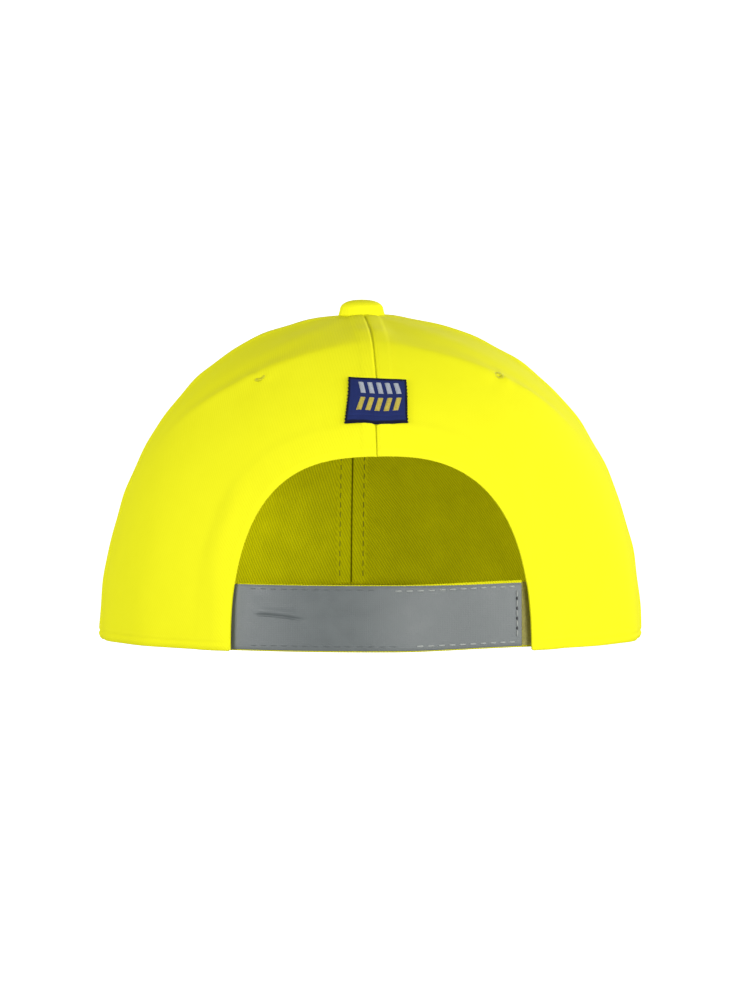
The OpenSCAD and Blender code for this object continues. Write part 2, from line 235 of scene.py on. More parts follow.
def tubes(work: Patchwork, paths: Array, ups: Array, radii: Array, sides: int = 6,
          slot: int = 0) -> None:
    """Adds many short round threads, such as stitches, loops and hooks.

    Args:
        work: What they are added to.
        paths: Points along each thread, threads x points x 3.
        ups: One direction across each thread, or one per point.
        radii: Thickness at each point of a thread, as a radius.
        sides: How many sides a thread has, which is even.
        slot: The finish that they take.
    """
    paths = np.asarray(paths, float)
    n, s = paths.shape[:2]
    if n == 0:
        return
    ups = np.broadcast_to(ups if ups.ndim == 3 else ups[:, None], paths.shape)
    along = unit(np.gradient(paths, axis=1))
    across = unit(np.cross(along, ups))
    over = np.cross(across, along)
    angle = np.arange(sides) * 2 * PI / sides
    radii = np.broadcast_to(radii, (n, s))[..., None, None]
    ring = paths[:, :, None] + radii * (across[:, :, None] * np.cos(angle)[:, None]
                                        + over[:, :, None] * np.sin(angle)[:, None])
    t, i, j = np.meshgrid(np.arange(n), np.arange(s - 1), np.arange(sides), indexing="ij")
    base = t * s * sides
    k = (j + 1) % sides
    faces = np.stack([base + i * sides + j, base + i * sides + k,
                      base + (i + 1) * sides + k, base + (i + 1) * sides + j], -1).reshape(-1, 4)
    caps = []
    for m in range(sides // 2 - 1):
        cell = np.array([m, m + 1, sides - 2 - m, sides - 1 - m])
        start = np.arange(n)[:, None] * s * sides
        caps += [(start + cell)[:, ::-1], start + (s - 1) * sides + cell]
    u = np.linspace(0, 1, s)[None, :, None] * 4 * MM + 0 * paths[:, :, :1]
    place = np.stack([np.broadcast_to(u, (n, s, sides)),
                      np.broadcast_to(angle * 0.3 * MM, (n, s, sides))], -1)
    work.add(ring.reshape(-1, 3), np.concatenate([faces, *caps]), slot, place.reshape(-1, 2))


@dataclass(frozen=True)
class StitchRow:
    """A row of lockstitches: their length, the gap between them and their thickness."""

    length: float = 2.3 * MM
    gap: float = 1.1 * MM
    radius: float = 0.22 * MM

    def sew(self, work: Patchwork, line: Array, ups: Array, slot: int = 0) -> None:
        """Sews along a line of points.

        Args:
            work: What the stitches are added to.
            line: The points that the row follows.
            ups: The direction out of the cloth at each of them.
            slot: The thread's finish.
        """
        steps = np.linalg.norm(np.diff(line, axis=0), axis=1)
        run = np.append(0, np.cumsum(steps))
        pitch = self.length + self.gap
        count = int((run[-1] - self.gap) / pitch)
        if count < 1:
            return
        slack = (run[-1] - count * pitch + self.gap) / 2
        start = slack + np.arange(count)[:, None] * pitch
        part = np.array([0.0, 0.14, 0.5, 0.86, 1.0])
        at = start + part * self.length
        centre = np.stack([np.interp(at, run, line[:, k]) for k in range(3)], -1)
        up = unit(np.stack([np.interp(at, run, ups[:, k]) for k in range(3)], -1))
        lift = np.array([-0.9, 0.15, 0.55, 0.15, -0.9]) * self.radius
        width = np.array([0.6, 0.95, 1.0, 0.95, 0.6]) * self.radius
        tubes(work, centre + up * lift[:, None], up, width, 6, slot)


# ---------------------------------------------------------------- finishes


class Sketch:
    """A short hand for writing a material's nodes."""

    def __init__(self, name: str) -> None:
        """Starts a material with one shader.

        Args:
            name: Its name.
        """
        self.material = bpy.data.materials.new(name)
        self.material.use_nodes = True
        self.tree = self.material.node_tree
        self.shader = next(n for n in self.tree.nodes if n.type == "BSDF_PRINCIPLED")

    def node(self, kind: str, inputs: dict[str | int, Any] | None = None,
             **settings: Any) -> bpy.types.Node:
        """Adds a node.

        Args:
            kind: Its type, without the ShaderNode that all of them start with.
            inputs: What goes into its sockets, as values or as other nodes' sockets.
            **settings: Its own settings.

        Returns:
            The node.
        """
        made = self.tree.nodes.new("ShaderNode" + kind)
        for key, value in settings.items():
            setattr(made, key, value)
        for key, value in (inputs or {}).items():
            if isinstance(value, bpy.types.NodeSocket):
                self.tree.links.new(value, made.inputs[key])
            else:
                made.inputs[key].default_value = value
        return made

    def math(self, operation: str, *values: Any) -> bpy.types.NodeSocket:
        """Result of a sum, product or other operation on numbers or sockets."""
        return self.node("Math", dict(enumerate(values)), operation=operation).outputs[0]

    def wave(self, place: bpy.types.NodeSocket, pitch: float,
             shift: Any = 0.0) -> bpy.types.NodeSocket:
        """Rounded ridges from 0 to 1, one for each pitch of the way along place."""
        turns = self.math("MULTIPLY", place, 2 * PI / pitch)
        return self.math("MULTIPLY_ADD", self.math("SINE", self.math("ADD", turns, shift)), 0.5, 0.5)

    def noise(self, place: bpy.types.NodeSocket, scale: float,
              detail: float = 3.0) -> bpy.types.NodeSocket:
        """Cloudy variation from 0 to 1, with a given number of clouds to the metre."""
        made = self.node("TexNoise", {"Vector": place, "Scale": scale, "Detail": detail})
        return made.outputs[0]

    def weigh(self, first: Any, much: Any, second: Any, little: Any) -> bpy.types.NodeSocket:
        """Sum of two values, each times a weight of its own."""
        return self.math("ADD", self.math("MULTIPLY", first, much),
                         self.math("MULTIPLY", second, little))

    def flat(self, across: Any, along: Any) -> bpy.types.NodeSocket:
        """Place on the flat cloth, as one value."""
        return self.node("CombineXYZ", {0: across, 1: along}).outputs[0]

    def mix(self, share: Any, low: Any, high: Any) -> bpy.types.NodeSocket:
        """Colour between two others.

        Args:
            share: Share of the second colour, from 0 to 1.
            low: The first colour.
            high: The second colour.

        Returns:
            The colour socket.
        """
        made = self.node("Mix", data_type="RGBA")
        for key, value in ((0, share), (6, low), (7, high)):
            if isinstance(value, bpy.types.NodeSocket):
                self.tree.links.new(value, made.inputs[key])
            else:
                made.inputs[key].default_value = (*value, 1) if key else value
        return made.outputs[2]

    def cloth_place(self) -> tuple[bpy.types.NodeSocket, bpy.types.NodeSocket]:
        """Ways across and along the flat cloth, in metres."""
        split = self.node("SeparateXYZ", {0: self.node("UVMap", uv_map="cloth").outputs[0]})
        return split.outputs[0], split.outputs[1]

    def solid_place(self) -> bpy.types.NodeSocket:
        """Place in the piece's own space, in metres."""
        return self.node("TexCoord").outputs["Object"]

    def finish(self, colour: bpy.types.NodeSocket, height: bpy.types.NodeSocket,
               relief: float, roughness: Any, sheen: float = 0.0,
               metallic: float = 0.0, specular: float = 0.5) -> bpy.types.Material:
        """Joins everything to the shader.

        Args:
            colour: The base colour.
            height: The fine relief, from 0 to 1.
            relief: How deep that relief is, in metres.
            roughness: A number or a socket.
            sheen: How much the surface's fuzz shines at a grazing angle.
            metallic: 1 for bare metal.
            specular: How strongly a dielectric surface shines.

        Returns:
            The finished material.
        """
        raised = self.node("Bump", {"Height": height, "Distance": relief, "Strength": 1.0})
        self.tree.links.new(colour, self.shader.inputs["Base Color"])
        self.tree.links.new(raised.outputs[0], self.shader.inputs["Normal"])
        if isinstance(roughness, bpy.types.NodeSocket):
            self.tree.links.new(roughness, self.shader.inputs["Roughness"])
        else:
            self.shader.inputs["Roughness"].default_value = roughness
        self.shader.inputs["Sheen Weight"].default_value = sheen
        self.shader.inputs["Sheen Roughness"].default_value = 0.5
        self.shader.inputs["Metallic"].default_value = metallic
        self.shader.inputs["Specular IOR Level"].default_value = specular
        return self.material


class Wale(Enum):
    """Which way the diagonal of a twill runs, as the slope's sign."""

    RISING = 1
    FALLING = -1


@dataclass(frozen=True)
class Twill:
    """Diagonal weave: its colours, the pitch, slope and relief of its wales, and its glow.

    The glow is painted light: an emission that stands for the light that comes through the thin
    cloth to its shaded side. Where a seam runs up the cloth, seam_at is its place across, and the
    fold beside it gets painted shade.
    """

    name: str
    light: Colour
    dark: Colour
    wale: Wale = Wale.RISING
    pitch: float = 1.15 * MM
    slope: float = 52.0
    relief: float = 0.16 * MM
    roughness: float = 0.82
    glow: float = 0.0
    seam_at: float | None = None

    def build(self) -> bpy.types.Material:
        """Makes the material.

        Returns:
            The material.
        """
        s = Sketch(self.name)
        across, along = s.cloth_place()
        place = s.flat(across, along)
        drift = s.math("MULTIPLY", s.noise(place, 260.0, 2.0), 1.9)
        a = math.radians(self.slope)
        diagonal = s.weigh(across, math.sin(a), along, -self.wale.value * math.cos(a))
        cross = s.weigh(across, math.cos(a), along, self.wale.value * math.sin(a))
        wales = s.wave(diagonal, self.pitch, drift)
        yarns = s.wave(cross, self.pitch * 0.48, s.math("MULTIPLY", wales, 2.6))
        height = s.math("MULTIPLY", s.math("POWER", wales, 0.7),
                        s.math("MULTIPLY_ADD", yarns, 0.32, 0.68))
        slub = s.noise(place, 95.0, 4.0)
        shade = s.weigh(height, 0.55, slub, 0.5)
        colour = s.mix(shade, self.dark, self.light)
        # painted shade: the cloth turns much darker in the seam's fold, within about half a millimetre
        # of seam_at
        if self.seam_at:
            far = s.math("ABSOLUTE", s.math("SUBTRACT", across, self.seam_at))
            lit = s.node("MapRange", {0: far, 1: 0.12 * MM, 2: 0.42 * MM}).outputs[0]
            colour = s.mix(lit, tuple(0.3 * c for c in self.dark), colour)
        rough = s.math("MULTIPLY_ADD", slub, 0.12, self.roughness - 0.06)
        # painted glow: the cloth's own colour is emitted, standing for light that comes through the
        # cloth
        s.tree.links.new(colour, s.shader.inputs["Emission Color"])
        s.shader.inputs["Emission Strength"].default_value = self.glow
        return s.finish(colour, height, self.relief, rough, specular=0.06)


@dataclass(frozen=True)
class Thread:
    """Twisted sewing or embroidery thread."""

    name: str
    light: Colour
    dark: Colour
    twist: float = 0.55 * MM
    sheen: float = 0.2

    def build(self) -> bpy.types.Material:
        """Makes the material.

        Returns:
            The material.
        """
        s = Sketch(self.name)
        along, around = s.cloth_place()
        ply = s.wave(s.math("ADD", along, s.math("MULTIPLY", around, 1.7)), self.twist)
        fuzz = s.noise(s.solid_place(), 2200.0, 2.0)
        shade = s.weigh(ply, 0.7, fuzz, 0.3)
        return s.finish(s.mix(shade, self.dark, self.light), ply, 0.06 * MM, 0.55, self.sheen)


@dataclass(frozen=True)
class GlassBeadTape:
    """Grey tape with tiny beads that shine back, lightly scuffed."""

    name: str = "reflective_tape_finish"
    light: Colour = (0.142, 0.160, 0.161)
    dark: Colour = (0.098, 0.112, 0.114)

    def build(self) -> bpy.types.Material:
        """Makes the material.

        Returns:
            The material.
        """
        s = Sketch(self.name)
        across, along = s.cloth_place()
        place = s.flat(across, along)
        weave = s.math("MULTIPLY", s.wave(across, 0.62 * MM), s.wave(along, 0.62 * MM))
        beads = s.node("TexVoronoi", {"Vector": place, "Scale": 4200.0}).outputs["Distance"]
        scuff = s.noise(place, 190.0, 6.0)
        shade = s.weigh(scuff, 0.85, weave, 0.25)
        height = s.weigh(beads, 0.4, weave, 0.6)
        rough = s.math("MULTIPLY_ADD", scuff, 0.25, 0.32)
        return s.finish(s.mix(shade, self.dark, self.light), height, 0.05 * MM, rough,
                        specular=0.5)


@dataclass(frozen=True)
class Pile:
    """Nylon hook or loop tape, with paler and darker clouds through its pile."""

    name: str
    light: Colour
    dark: Colour
    roughness: float = 0.6

    def build(self) -> bpy.types.Material:
        """Makes the material.

        Returns:
            The material.
        """
        s = Sketch(self.name)
        place = s.solid_place()
        clumps, fuzz = s.noise(place, 420.0, 5.0), s.noise(place, 2600.0, 2.0)
        shade = s.weigh(clumps, 0.6, fuzz, 0.4)
        return s.finish(s.mix(shade, self.dark, self.light), fuzz, 0.12 * MM,
                        self.roughness, sheen=0.25)


@dataclass(frozen=True)
class Woven:
    """Fine rib of a damask label or a satin ribbon."""

    name: str
    light: Colour
    dark: Colour
    pick: float = 0.24 * MM
    roughness: float = 0.6
    sheen: float = 0.1
    dark_edge: tuple[float, float] | None = None

    def build(self) -> bpy.types.Material:
        """Makes the material.

        Returns:
            The material.
        """
        s = Sketch(self.name)
        across, along = s.cloth_place()
        place = s.flat(across, along)
        picks = s.wave(along, self.pick, s.math("MULTIPLY", s.noise(place, 900.0), 2.0))
        ends = s.wave(across, self.pick * 1.3)
        height = s.weigh(picks, 0.7, ends, 0.3)
        cloud = s.noise(place, 210.0, 4.0)
        shade = s.weigh(height, 0.45, cloud, 0.65)
        colour = s.mix(shade, self.dark, self.light)
        if self.dark_edge:
            sides = [s.math("MINIMUM", way, s.math("SUBTRACT", full, way))
                     for way, full in zip((across, along), self.dark_edge)]
            rim = s.math("ADD", s.math("MINIMUM", *sides), s.math("MULTIPLY", cloud, -0.9 * MM))
            inner = s.node("MapRange", {0: rim, 1: 0.08 * MM, 2: 0.42 * MM}).outputs[0]
            colour = s.mix(inner, tuple(c * 0.3 for c in self.dark), colour)
        return s.finish(colour, height, 0.05 * MM, self.roughness, self.sheen, specular=0.2)


@dataclass(frozen=True)
class Moulded:
    """Moulded or sheet plastic with a spark texture, and paler scuffs where it rubs."""

    name: str
    light: Colour
    dark: Colour
    grain: float = 1500.0
    roughness: float = 0.48

    def build(self) -> bpy.types.Material:
        """Makes the material.

        Returns:
            The material.
        """
        s = Sketch(self.name)
        place = s.solid_place()
        spark, scuff = s.noise(place, self.grain, 4.0), s.noise(place, 70.0, 7.0)
        worn = s.node("MapRange", {0: scuff, 1: 0.55, 2: 0.75}).outputs[0]
        rough = s.math("MULTIPLY_ADD", worn, 0.18, self.roughness)
        shade = s.weigh(worn, 0.6, spark, 0.4)
        return s.finish(s.mix(shade, self.dark, self.light), spark, 0.05 * MM, rough)


@dataclass(frozen=True)
class Jersey:
    """Knitted jersey over foam, with its columns of small stitches."""

    name: str = "pad_jersey"
    light: Colour = (0.085, 0.085, 0.092)
    dark: Colour = (0.022, 0.022, 0.026)
    gauge: float = 0.9 * MM

    def build(self) -> bpy.types.Material:
        """Makes the material.

        Returns:
            The material.
        """
        s = Sketch(self.name)
        split = s.node("SeparateXYZ", {0: s.solid_place()})
        x, y, z = (split.outputs[k] for k in range(3))
        columns = s.wave(s.math("ADD", x, y), self.gauge)
        rows = s.wave(z, self.gauge * 0.8, s.math("MULTIPLY", columns, 3.0))
        height = s.math("MULTIPLY", s.math("POWER", columns, 0.6), rows)
        lint = s.noise(s.solid_place(), 140.0, 5.0)
        shade = s.weigh(height, 0.6, lint, 0.4)
        return s.finish(s.mix(shade, self.dark, self.light), height, 0.14 * MM, 0.9, sheen=0.3)


@dataclass(frozen=True)
class PlatedSteel:
    """Pressed steel with a dull zinc plating and fine brush lines."""

    name: str = "zinc_plate"
    light: Colour = (0.66, 0.66, 0.65)
    dark: Colour = (0.42, 0.42, 0.43)

    def build(self) -> bpy.types.Material:
        """Makes the material.

        Returns:
            The material.
        """
        s = Sketch(self.name)
        stretched = s.node("Mapping", {0: s.solid_place(), 3: (300.0, 300.0, 4000.0)}).outputs[0]
        lines, bloom = s.noise(stretched, 1.0, 3.0), s.noise(s.solid_place(), 500.0, 5.0)
        rough = s.math("MULTIPLY_ADD", bloom, 0.25, 0.28)
        return s.finish(s.mix(bloom, self.dark, self.light), lines, 0.02 * MM, rough, metallic=1.0)


@dataclass(frozen=True)
class PaleFloor:
    """Matt white studio floor."""

    name: str = "pale_floor"
    glow: float = 1.0

    def build(self) -> bpy.types.Material:
        """Makes the material.

        Returns:
            The material.
        """
        s = Sketch(self.name)
        grain = s.noise(s.solid_place(), 6.0, 3.0)
        s.shader.inputs["Emission Color"].default_value = (1, 1, 1, 1)
        s.shader.inputs["Emission Strength"].default_value = self.glow
        return s.finish(s.mix(grain, (0.94, 0.94, 0.94), (0.97, 0.97, 0.97)), grain,
                        0.1 * MM, 0.9, specular=0.1)


@dataclass
class Wardrobe:
    """Every finish of the cap, made once."""

    twill: bpy.types.Material = field(default_factory=Twill(
        "hi_vis_twill_face", (0.90, 0.885, 0.017), (0.83, 0.815, 0.009), pitch=0.85 * MM,
        relief=0.03 * MM).build)
    # The cloth's back and the pressed turnings carry a painted glow (emission) for light coming through
    # the cloth.
    inside: bpy.types.Material = field(default_factory=Twill(
        "hi_vis_twill_back", (0.95, 0.92, 0.002), (0.46, 0.45, 0.0), Wale.FALLING,
        pitch=0.9 * MM, slope=60.0, relief=0.2 * MM, glow=0.14).build)
    # The pressed turnings also get painted shade along the seam's fold (seam_at).
    pressed: bpy.types.Material = field(default_factory=Twill(
        "pressed_seam_twill", (0.97, 0.94, 0.002), (0.52, 0.51, 0.0), Wale.FALLING,
        pitch=0.9 * MM, slope=66.0, relief=0.16 * MM, glow=0.15, seam_at=5.2 * MM).build)
    webbing: bpy.types.Material = field(default_factory=Twill(
        "strap_web_cloth", (0.86, 0.83, 0.01), (0.5, 0.48, 0.0), pitch=0.8 * MM).build)
    sweat_cotton: bpy.types.Material = field(default_factory=Twill(
        "sweatband_cotton_cloth", (0.80, 0.77, 0.05), (0.48, 0.46, 0.02), Wale.FALLING,
        pitch=0.9 * MM).build)
    yellow_thread: bpy.types.Material = field(default_factory=Thread(
        "yellow_sewing_thread", (0.91, 0.89, 0.016), (0.76, 0.74, 0.006), sheen=0.0).build)
    dull_thread: bpy.types.Material = field(default_factory=Thread(
        "olive_sewing_thread", (0.50, 0.48, 0.004), (0.26, 0.25, 0.0), sheen=0.0).build)
    grey_thread: bpy.types.Material = field(default_factory=Thread(
        "grey_sewing_thread", (0.46, 0.49, 0.46), (0.28, 0.30, 0.29), sheen=0.05).build)
    motif_grey: bpy.types.Material = field(default_factory=Thread(
        "label_grey_yarn", (0.62, 0.66, 0.72), (0.36, 0.40, 0.48)).build)
    motif_gold: bpy.types.Material = field(default_factory=Thread(
        "label_gold_yarn", (0.80, 0.66, 0.06), (0.55, 0.42, 0.03)).build)
    tape: bpy.types.Material = field(default_factory=GlassBeadTape().build)
    hooks: bpy.types.Material = field(default_factory=Pile(
        "hook_tape_nylon", (0.20, 0.20, 0.16), (0.07, 0.07, 0.05), 0.45).build)
    loops: bpy.types.Material = field(default_factory=Pile(
        "loop_tape_nylon", (0.62, 0.58, 0.2), (0.26, 0.24, 0.07)).build)
    navy: bpy.types.Material = field(default_factory=Woven(
        "navy_damask", (0.017, 0.034, 0.175), (0.006, 0.011, 0.06), roughness=0.8,
        sheen=0.0, dark_edge=(19.6 * MM, 13.8 * MM)).build)
    satin: bpy.types.Material = field(default_factory=Woven(
        "white_satin_ribbon", (0.86, 0.86, 0.83), (0.70, 0.70, 0.68), 0.12 * MM, 0.35, 0.3).build)
    shell: bpy.types.Material = field(default_factory=Moulded(
        "shell_spark_plastic", (0.085, 0.088, 0.095), (0.022, 0.024, 0.028)).build)
    board: bpy.types.Material = field(default_factory=Moulded(
        "visor_board_sheet", (0.72, 0.72, 0.68), (0.58, 0.58, 0.55), 700.0, 0.5).build)
    jersey: bpy.types.Material = field(default_factory=Jersey().build)
    steel: bpy.types.Material = field(default_factory=PlatedSteel().build)


# ---------------------------------------------------------------- the crown's surface


@dataclass(frozen=True)
class Crown:
    """The surface that every fabric layer follows, with its soft folds. Lengths are in metres."""

    half_w: float = 0.0908
    half_l: float = 0.101
    height: float = 0.108
    power: float = 2.17
    front_fullness: float = 0.2
    tip_shift: float = 0.0028
    rim_rise: float = 0.004
    visor_half_w: float = 0.086
    opening_half_w: float = 0.0503
    opening_h: float = 0.065
    opening_power: float = 2.6
    tip_share: float = 0.022
    front_seam: float = PI - 0.024
    eyelet_turns: tuple[float, ...] = (0.722, -0.795, PI - 0.733, PI + 0.733)
    eyelet_z: float = 0.0878

    @property
    def seams(self) -> tuple[float, float, float, float]:
        """Turns of the rear, left, front and right seams."""
        return 0.0, PI / 2, self.front_seam, 1.5 * PI

    def profile(self, turn: Array) -> Array:
        """Squareness of the profile at a turn."""
        cosine = np.cos(turn)
        return self.power + np.where(cosine < 0, self.front_fullness * cosine**2, 0)

    def share(self, turn: Array, z: Array, depth: float) -> Array:
        """Size of a layer at a height, as a share of its size at the rim.

        Args:
            turn: Turn from the rear centre.
            z: Height above the rim.
            depth: Depth under the outer face.

        Returns:
            The share, from 0 to 1.
        """
        p = self.profile(turn)
        inner = np.clip(np.asarray(z) / (self.height - depth), 0, 1)
        return np.maximum(1 - inner**p, 0) ** (1 / p)

    def height_at(self, turn: Array, share: float, depth: float) -> Array:
        """Height at which a layer has a given share of its size."""
        p = self.profile(turn)
        return (self.height - depth) * (1 - share**p) ** (1 / p)

    def rows(self, turn: Array, low: Array, high: Array, depth: float, steps: Array) -> Array:
        """Heights of even steps along the profile, closer together where the crown is flat.

        Args:
            turn: Turn from the rear centre.
            low: Lowest height.
            high: Highest height.
            depth: Depth under the outer face.
            steps: Steps from 0, at low, to 1, at high.

        Returns:
            The heights.
        """
        p, h = self.profile(turn), self.height - depth
        a = np.arcsin(np.clip(low / h, 0, 1) ** (p / 2))
        b = np.arcsin(np.clip(high / h, 0, 1) ** (p / 2))
        return h * np.sin(a + (b - a) * steps) ** (2 / p)

    def base(self, turn: Array, z: Array, depth: float) -> Array:
        """Point of a layer without its folds.

        Args:
            turn: Turn from the rear centre.
            z: Height above the rim.
            depth: Depth under the outer face.

        Returns:
            The points.
        """
        turn, z = np.broadcast_arrays(turn, z)
        c = self.share(turn, z, depth)
        return np.stack([
            (self.half_w - depth) * c * np.sin(turn) + self.tip_shift * (1 - c) ** 2,
            (self.half_l - depth) * c * np.cos(turn), z], -1)

    def normal(self, turn: Array, z: Array) -> Array:
        """Direction out of the crown.

        Args:
            turn: Turn from the rear centre.
            z: Height above the rim.

        Returns:
            Unit vectors.
        """
        e = 1e-4
        z = np.clip(z, 2e-5, self.height - 3e-5)
        up = self.base(turn, z + 1e-5, 0) - self.base(turn, z - 1e-5, 0)
        round_ = self.base(turn + e, z, 0) - self.base(turn - e, z, 0)
        return unit(np.cross(up, round_))

    def rim(self, turn: Array) -> Array:
        """Height of the rim, which rises a little over the visor."""
        x = np.abs(self.half_w * np.sin(turn))
        return np.where(np.cos(turn) < 0, self.rim_rise * self.visor_drop(x), 0)

    def visor_drop(self, x: Array) -> Array:
        """Share of the arch height that is left at x from the centre plane."""
        return np.maximum(1 - np.minimum(np.abs(x) / self.visor_half_w, 1) ** 1.8, 0)

    def turn_at(self, x: Array, z: Array, depth: float) -> Array:
        """Turn at which the rear of a layer is x from the centre plane."""
        c = self.share(np.zeros_like(x), z, depth)
        return np.arcsin((x - self.tip_shift * (1 - c) ** 2) / ((self.half_w - depth) * c))

    def arch(self, angle: Array, grow: Array | float) -> tuple[Array, Array]:
        """Outline of the rear opening, or of one that is larger by grow.

        Args:
            angle: Angle round the arch.
            grow: How much larger the outline is.

        Returns:
            Distance to the left and height of each point.
        """
        power = 2 / self.opening_power
        c, s = np.cos(angle), np.sin(angle)
        return (np.sign(c) * (self.opening_half_w + grow) * np.abs(c) ** power,
                (self.opening_h + grow) * np.abs(s) ** power)

    def off_arch(self, x: Array, z: Array) -> Array:
        """Rough distance from the opening's edge, which is positive on the cloth.

        Args:
            x: Distance to the wearer's left.
            z: Height above the rim.

        Returns:
            The distances.
        """
        n, w, h = self.opening_power, self.opening_half_w, self.opening_h
        u, v = np.abs(x) / w, np.maximum(z, 0) / h
        level = (u**n + v**n) ** (1 / n)
        slope = np.hypot(u ** (n - 1) / w, v ** (n - 1) / h) * np.maximum(level, 1e-6) ** (1 - n)
        return (level - 1) / np.maximum(slope, 1e-6)

    def folds(self, turn: Array, z: Array) -> Array:
        """Soft folds that every layer shares, as a distance outwards.

        Args:
            turn: Turn from the rear centre.
            z: Height above the rim.

        Returns:
            The distances.
        """
        turn, z = np.broadcast_arrays(np.asarray(turn, float), np.asarray(z, float))
        c = self.share(turn, z, 0)
        x = self.half_w * c * np.sin(turn)
        away = np.abs((turn + PI) % (2 * PI) - PI)
        calm = ease(c, 0.1, 0.45)
        wave = (0.45 * np.sin(3 * turn + 1.3) * np.sin(z / 0.018 + 0.5)
                + 0.30 * np.sin(5 * turn + 2.1 + z / 0.03)
                + 0.20 * np.sin(9 * turn - z / 0.021)) * MM * calm
        above = z - (0.0995 - 0.0184 * away**2)
        rear = ease(away, 1.35, 0.95)
        shoulder = 1.7 * MM * np.exp((0.0009 - np.hypot(above, 0.0009)) / 0.0058) * rear
        dent = -0.6 * MM * bump(above, 0.0066, 0.0044) * rear * ease(away * c, 0.02, 0.1)
        y = self.half_l * c * np.cos(turn)
        crest = (1.15 * bump(y, 0.002, 0.0058) - 1.2 * bump(y, 0, 0.025)) * MM
        crest = crest * ease(z, 0.06, 0.085) * ease(c, 0.12, 0.3)
        fold_x = 0.054 - 0.008 * ease(z, 0.028, 0.058)
        ridge = np.where(x > 0, 1.15, 0.6) * bump(np.abs(x), fold_x, 0.0038)
        ridge = ridge * MM * ease(z, 0.066, 0.045) * ease(away, 1.3, 1.0)
        hem = 0.35 * MM * np.sin(19 * turn + 0.7) * np.exp(-z / 0.014) * ease(away, 0.5, 0.75)
        front = -0.5 * MM * bump(away, 2.55, 0.22) * bump(z, 0.055, 0.03)
        waist = -0.75 * MM * bump(z, 0.045, 0.028)
        return wave + shoulder + dent + crest + ridge + hem + front + waist

    def at(self, turn: Array, z: Array, depth: float, proud: Array | float = 0.0) -> Array:
        """Point of a layer with its folds.

        Args:
            turn: Turn of the point.
            z: Height above the rim.
            depth: Depth of the layer.
            proud: How far it stands out of the layer.

        Returns:
            The point, in metres.
        """
        lift = self.folds(turn, z) + proud
        place = self.base(turn, z, depth) + self.normal(turn, z) * np.asarray(lift)[..., None]
        away = (np.asarray(turn) + PI) % (2 * PI) - PI
        place[..., 0] += 1.15 * MM * ease(z, 0.088, 0.074) * ease(z, 0.035, 0.062) * bump(away, 0, 0.4)
        return place

    def rear_at(self, x: Array, z: Array, depth: float, proud: Array | float = 0.0) -> Array:
        """Point at the rear of a layer, x from the centre plane."""
        return self.at(self.turn_at(x, z, depth), z, depth, proud)

    def seam_distance(self, turn: Array, z: Array, seam: float) -> Array:
        """Distance across the cloth from a seam.

        Args:
            turn: Turn from the rear centre.
            z: Height above the rim.
            seam: Turn at which the seam is.

        Returns:
            The distances.
        """
        c = self.share(turn, z, 0)
        size = abs(math.sin(seam)) * self.half_l + abs(math.cos(seam)) * self.half_w
        return np.abs((turn - seam + PI) % (2 * PI) - PI) * size * c

    def tailoring(self, turn: Array, z: Array) -> Array:
        """Relief of the outer face alone: seams, puckers, hems and eyelets.

        Args:
            turn: Turn from the rear centre.
            z: Height above the rim.

        Returns:
            The relief.
        """
        lift = np.zeros(np.broadcast(turn, z).shape)
        run = np.arcsin(np.clip(z / self.height, 0, 1))
        for index, seam in enumerate(self.seams):
            d = self.seam_distance(turn, z, seam)
            open_ = ease(self.share(turn, z, 0), 0.07, 0.13)
            lift += 0.28 * MM * ease(d, 0.0058, 0.0042) - 0.8 * MM * open_ * bump(d, 0, 0.00062)
            pucker = np.sin(run * 26 + 2.2 * index) + 0.6 * np.sin(run * 41 + index)
            lift += 0.16 * MM * pucker * bump(d, 0.0026, 0.0028)
        place = self.base(turn, z, 0)
        for eyelet in self.eyelet_turns:
            centre = self.base(np.array(eyelet), np.array(self.eyelet_z), 0)
            away = place - centre
            r = np.linalg.norm(away, axis=-1)
            spin = np.arctan2(away[..., 2], away[..., 0])
            fold = np.linalg.norm(away - np.array([-1.9, 0.0, -1.5]) * MM, axis=-1)
            lift += 0.65 * MM * bump(fold, 0, 0.0026) - 0.65 * MM * bump(r, 0, 0.0020)
            lift += 0.16 * MM * np.sin(3 * spin + 1.0) * bump(r, 0.0062, 0.003)
        above = z - self.rim(turn)
        fringe = self.off_arch(place[..., 0], z)
        rear = np.cos(turn) > 0
        free = np.where(rear, ease(fringe, 0.0, 0.002), 1)
        lift += free * (-0.38 * MM * bump(above, 0.0023, 0.00045)
                        - 0.55 * MM * ease(above, 0.0019, 0.0) ** 2)
        lip = 0.3 * MM * ease(fringe, 0.012, 0.009) - 0.5 * MM * ease(fringe, 0.0016, 0.0)
        return lift + np.where(rear, lip, 0)


CROWN = Crown()


def dress(piece: bpy.types.Object, body: str | None, nodes: tuple[str, ...] = ()) -> bpy.types.Object:
    """Ties a piece to the frame.

    Args:
        piece: The piece.
        body: The body that it rides on, or None for a piece between two, which stays unattached.
        nodes: The plain parts that it stands for.

    Returns:
        The same piece.
    """
    if body:
        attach(piece, body)
    if nodes:
        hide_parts(*nodes)
    return piece


def cut_area(node: str, thickness: float) -> float:
    """Flat area of the cloth that a CAD solid stands for, from the solid's volume.

    Args:
        node: The CAD solid.
        thickness: Its thickness.

    Returns:
        The area in square metres.
    """
    solid = bpy.data.objects[node]
    shape = bmesh.new()
    shape.from_mesh(solid.data)
    shape.transform(solid.matrix_world)
    volume = abs(shape.calc_volume())
    shape.free()
    return volume / thickness


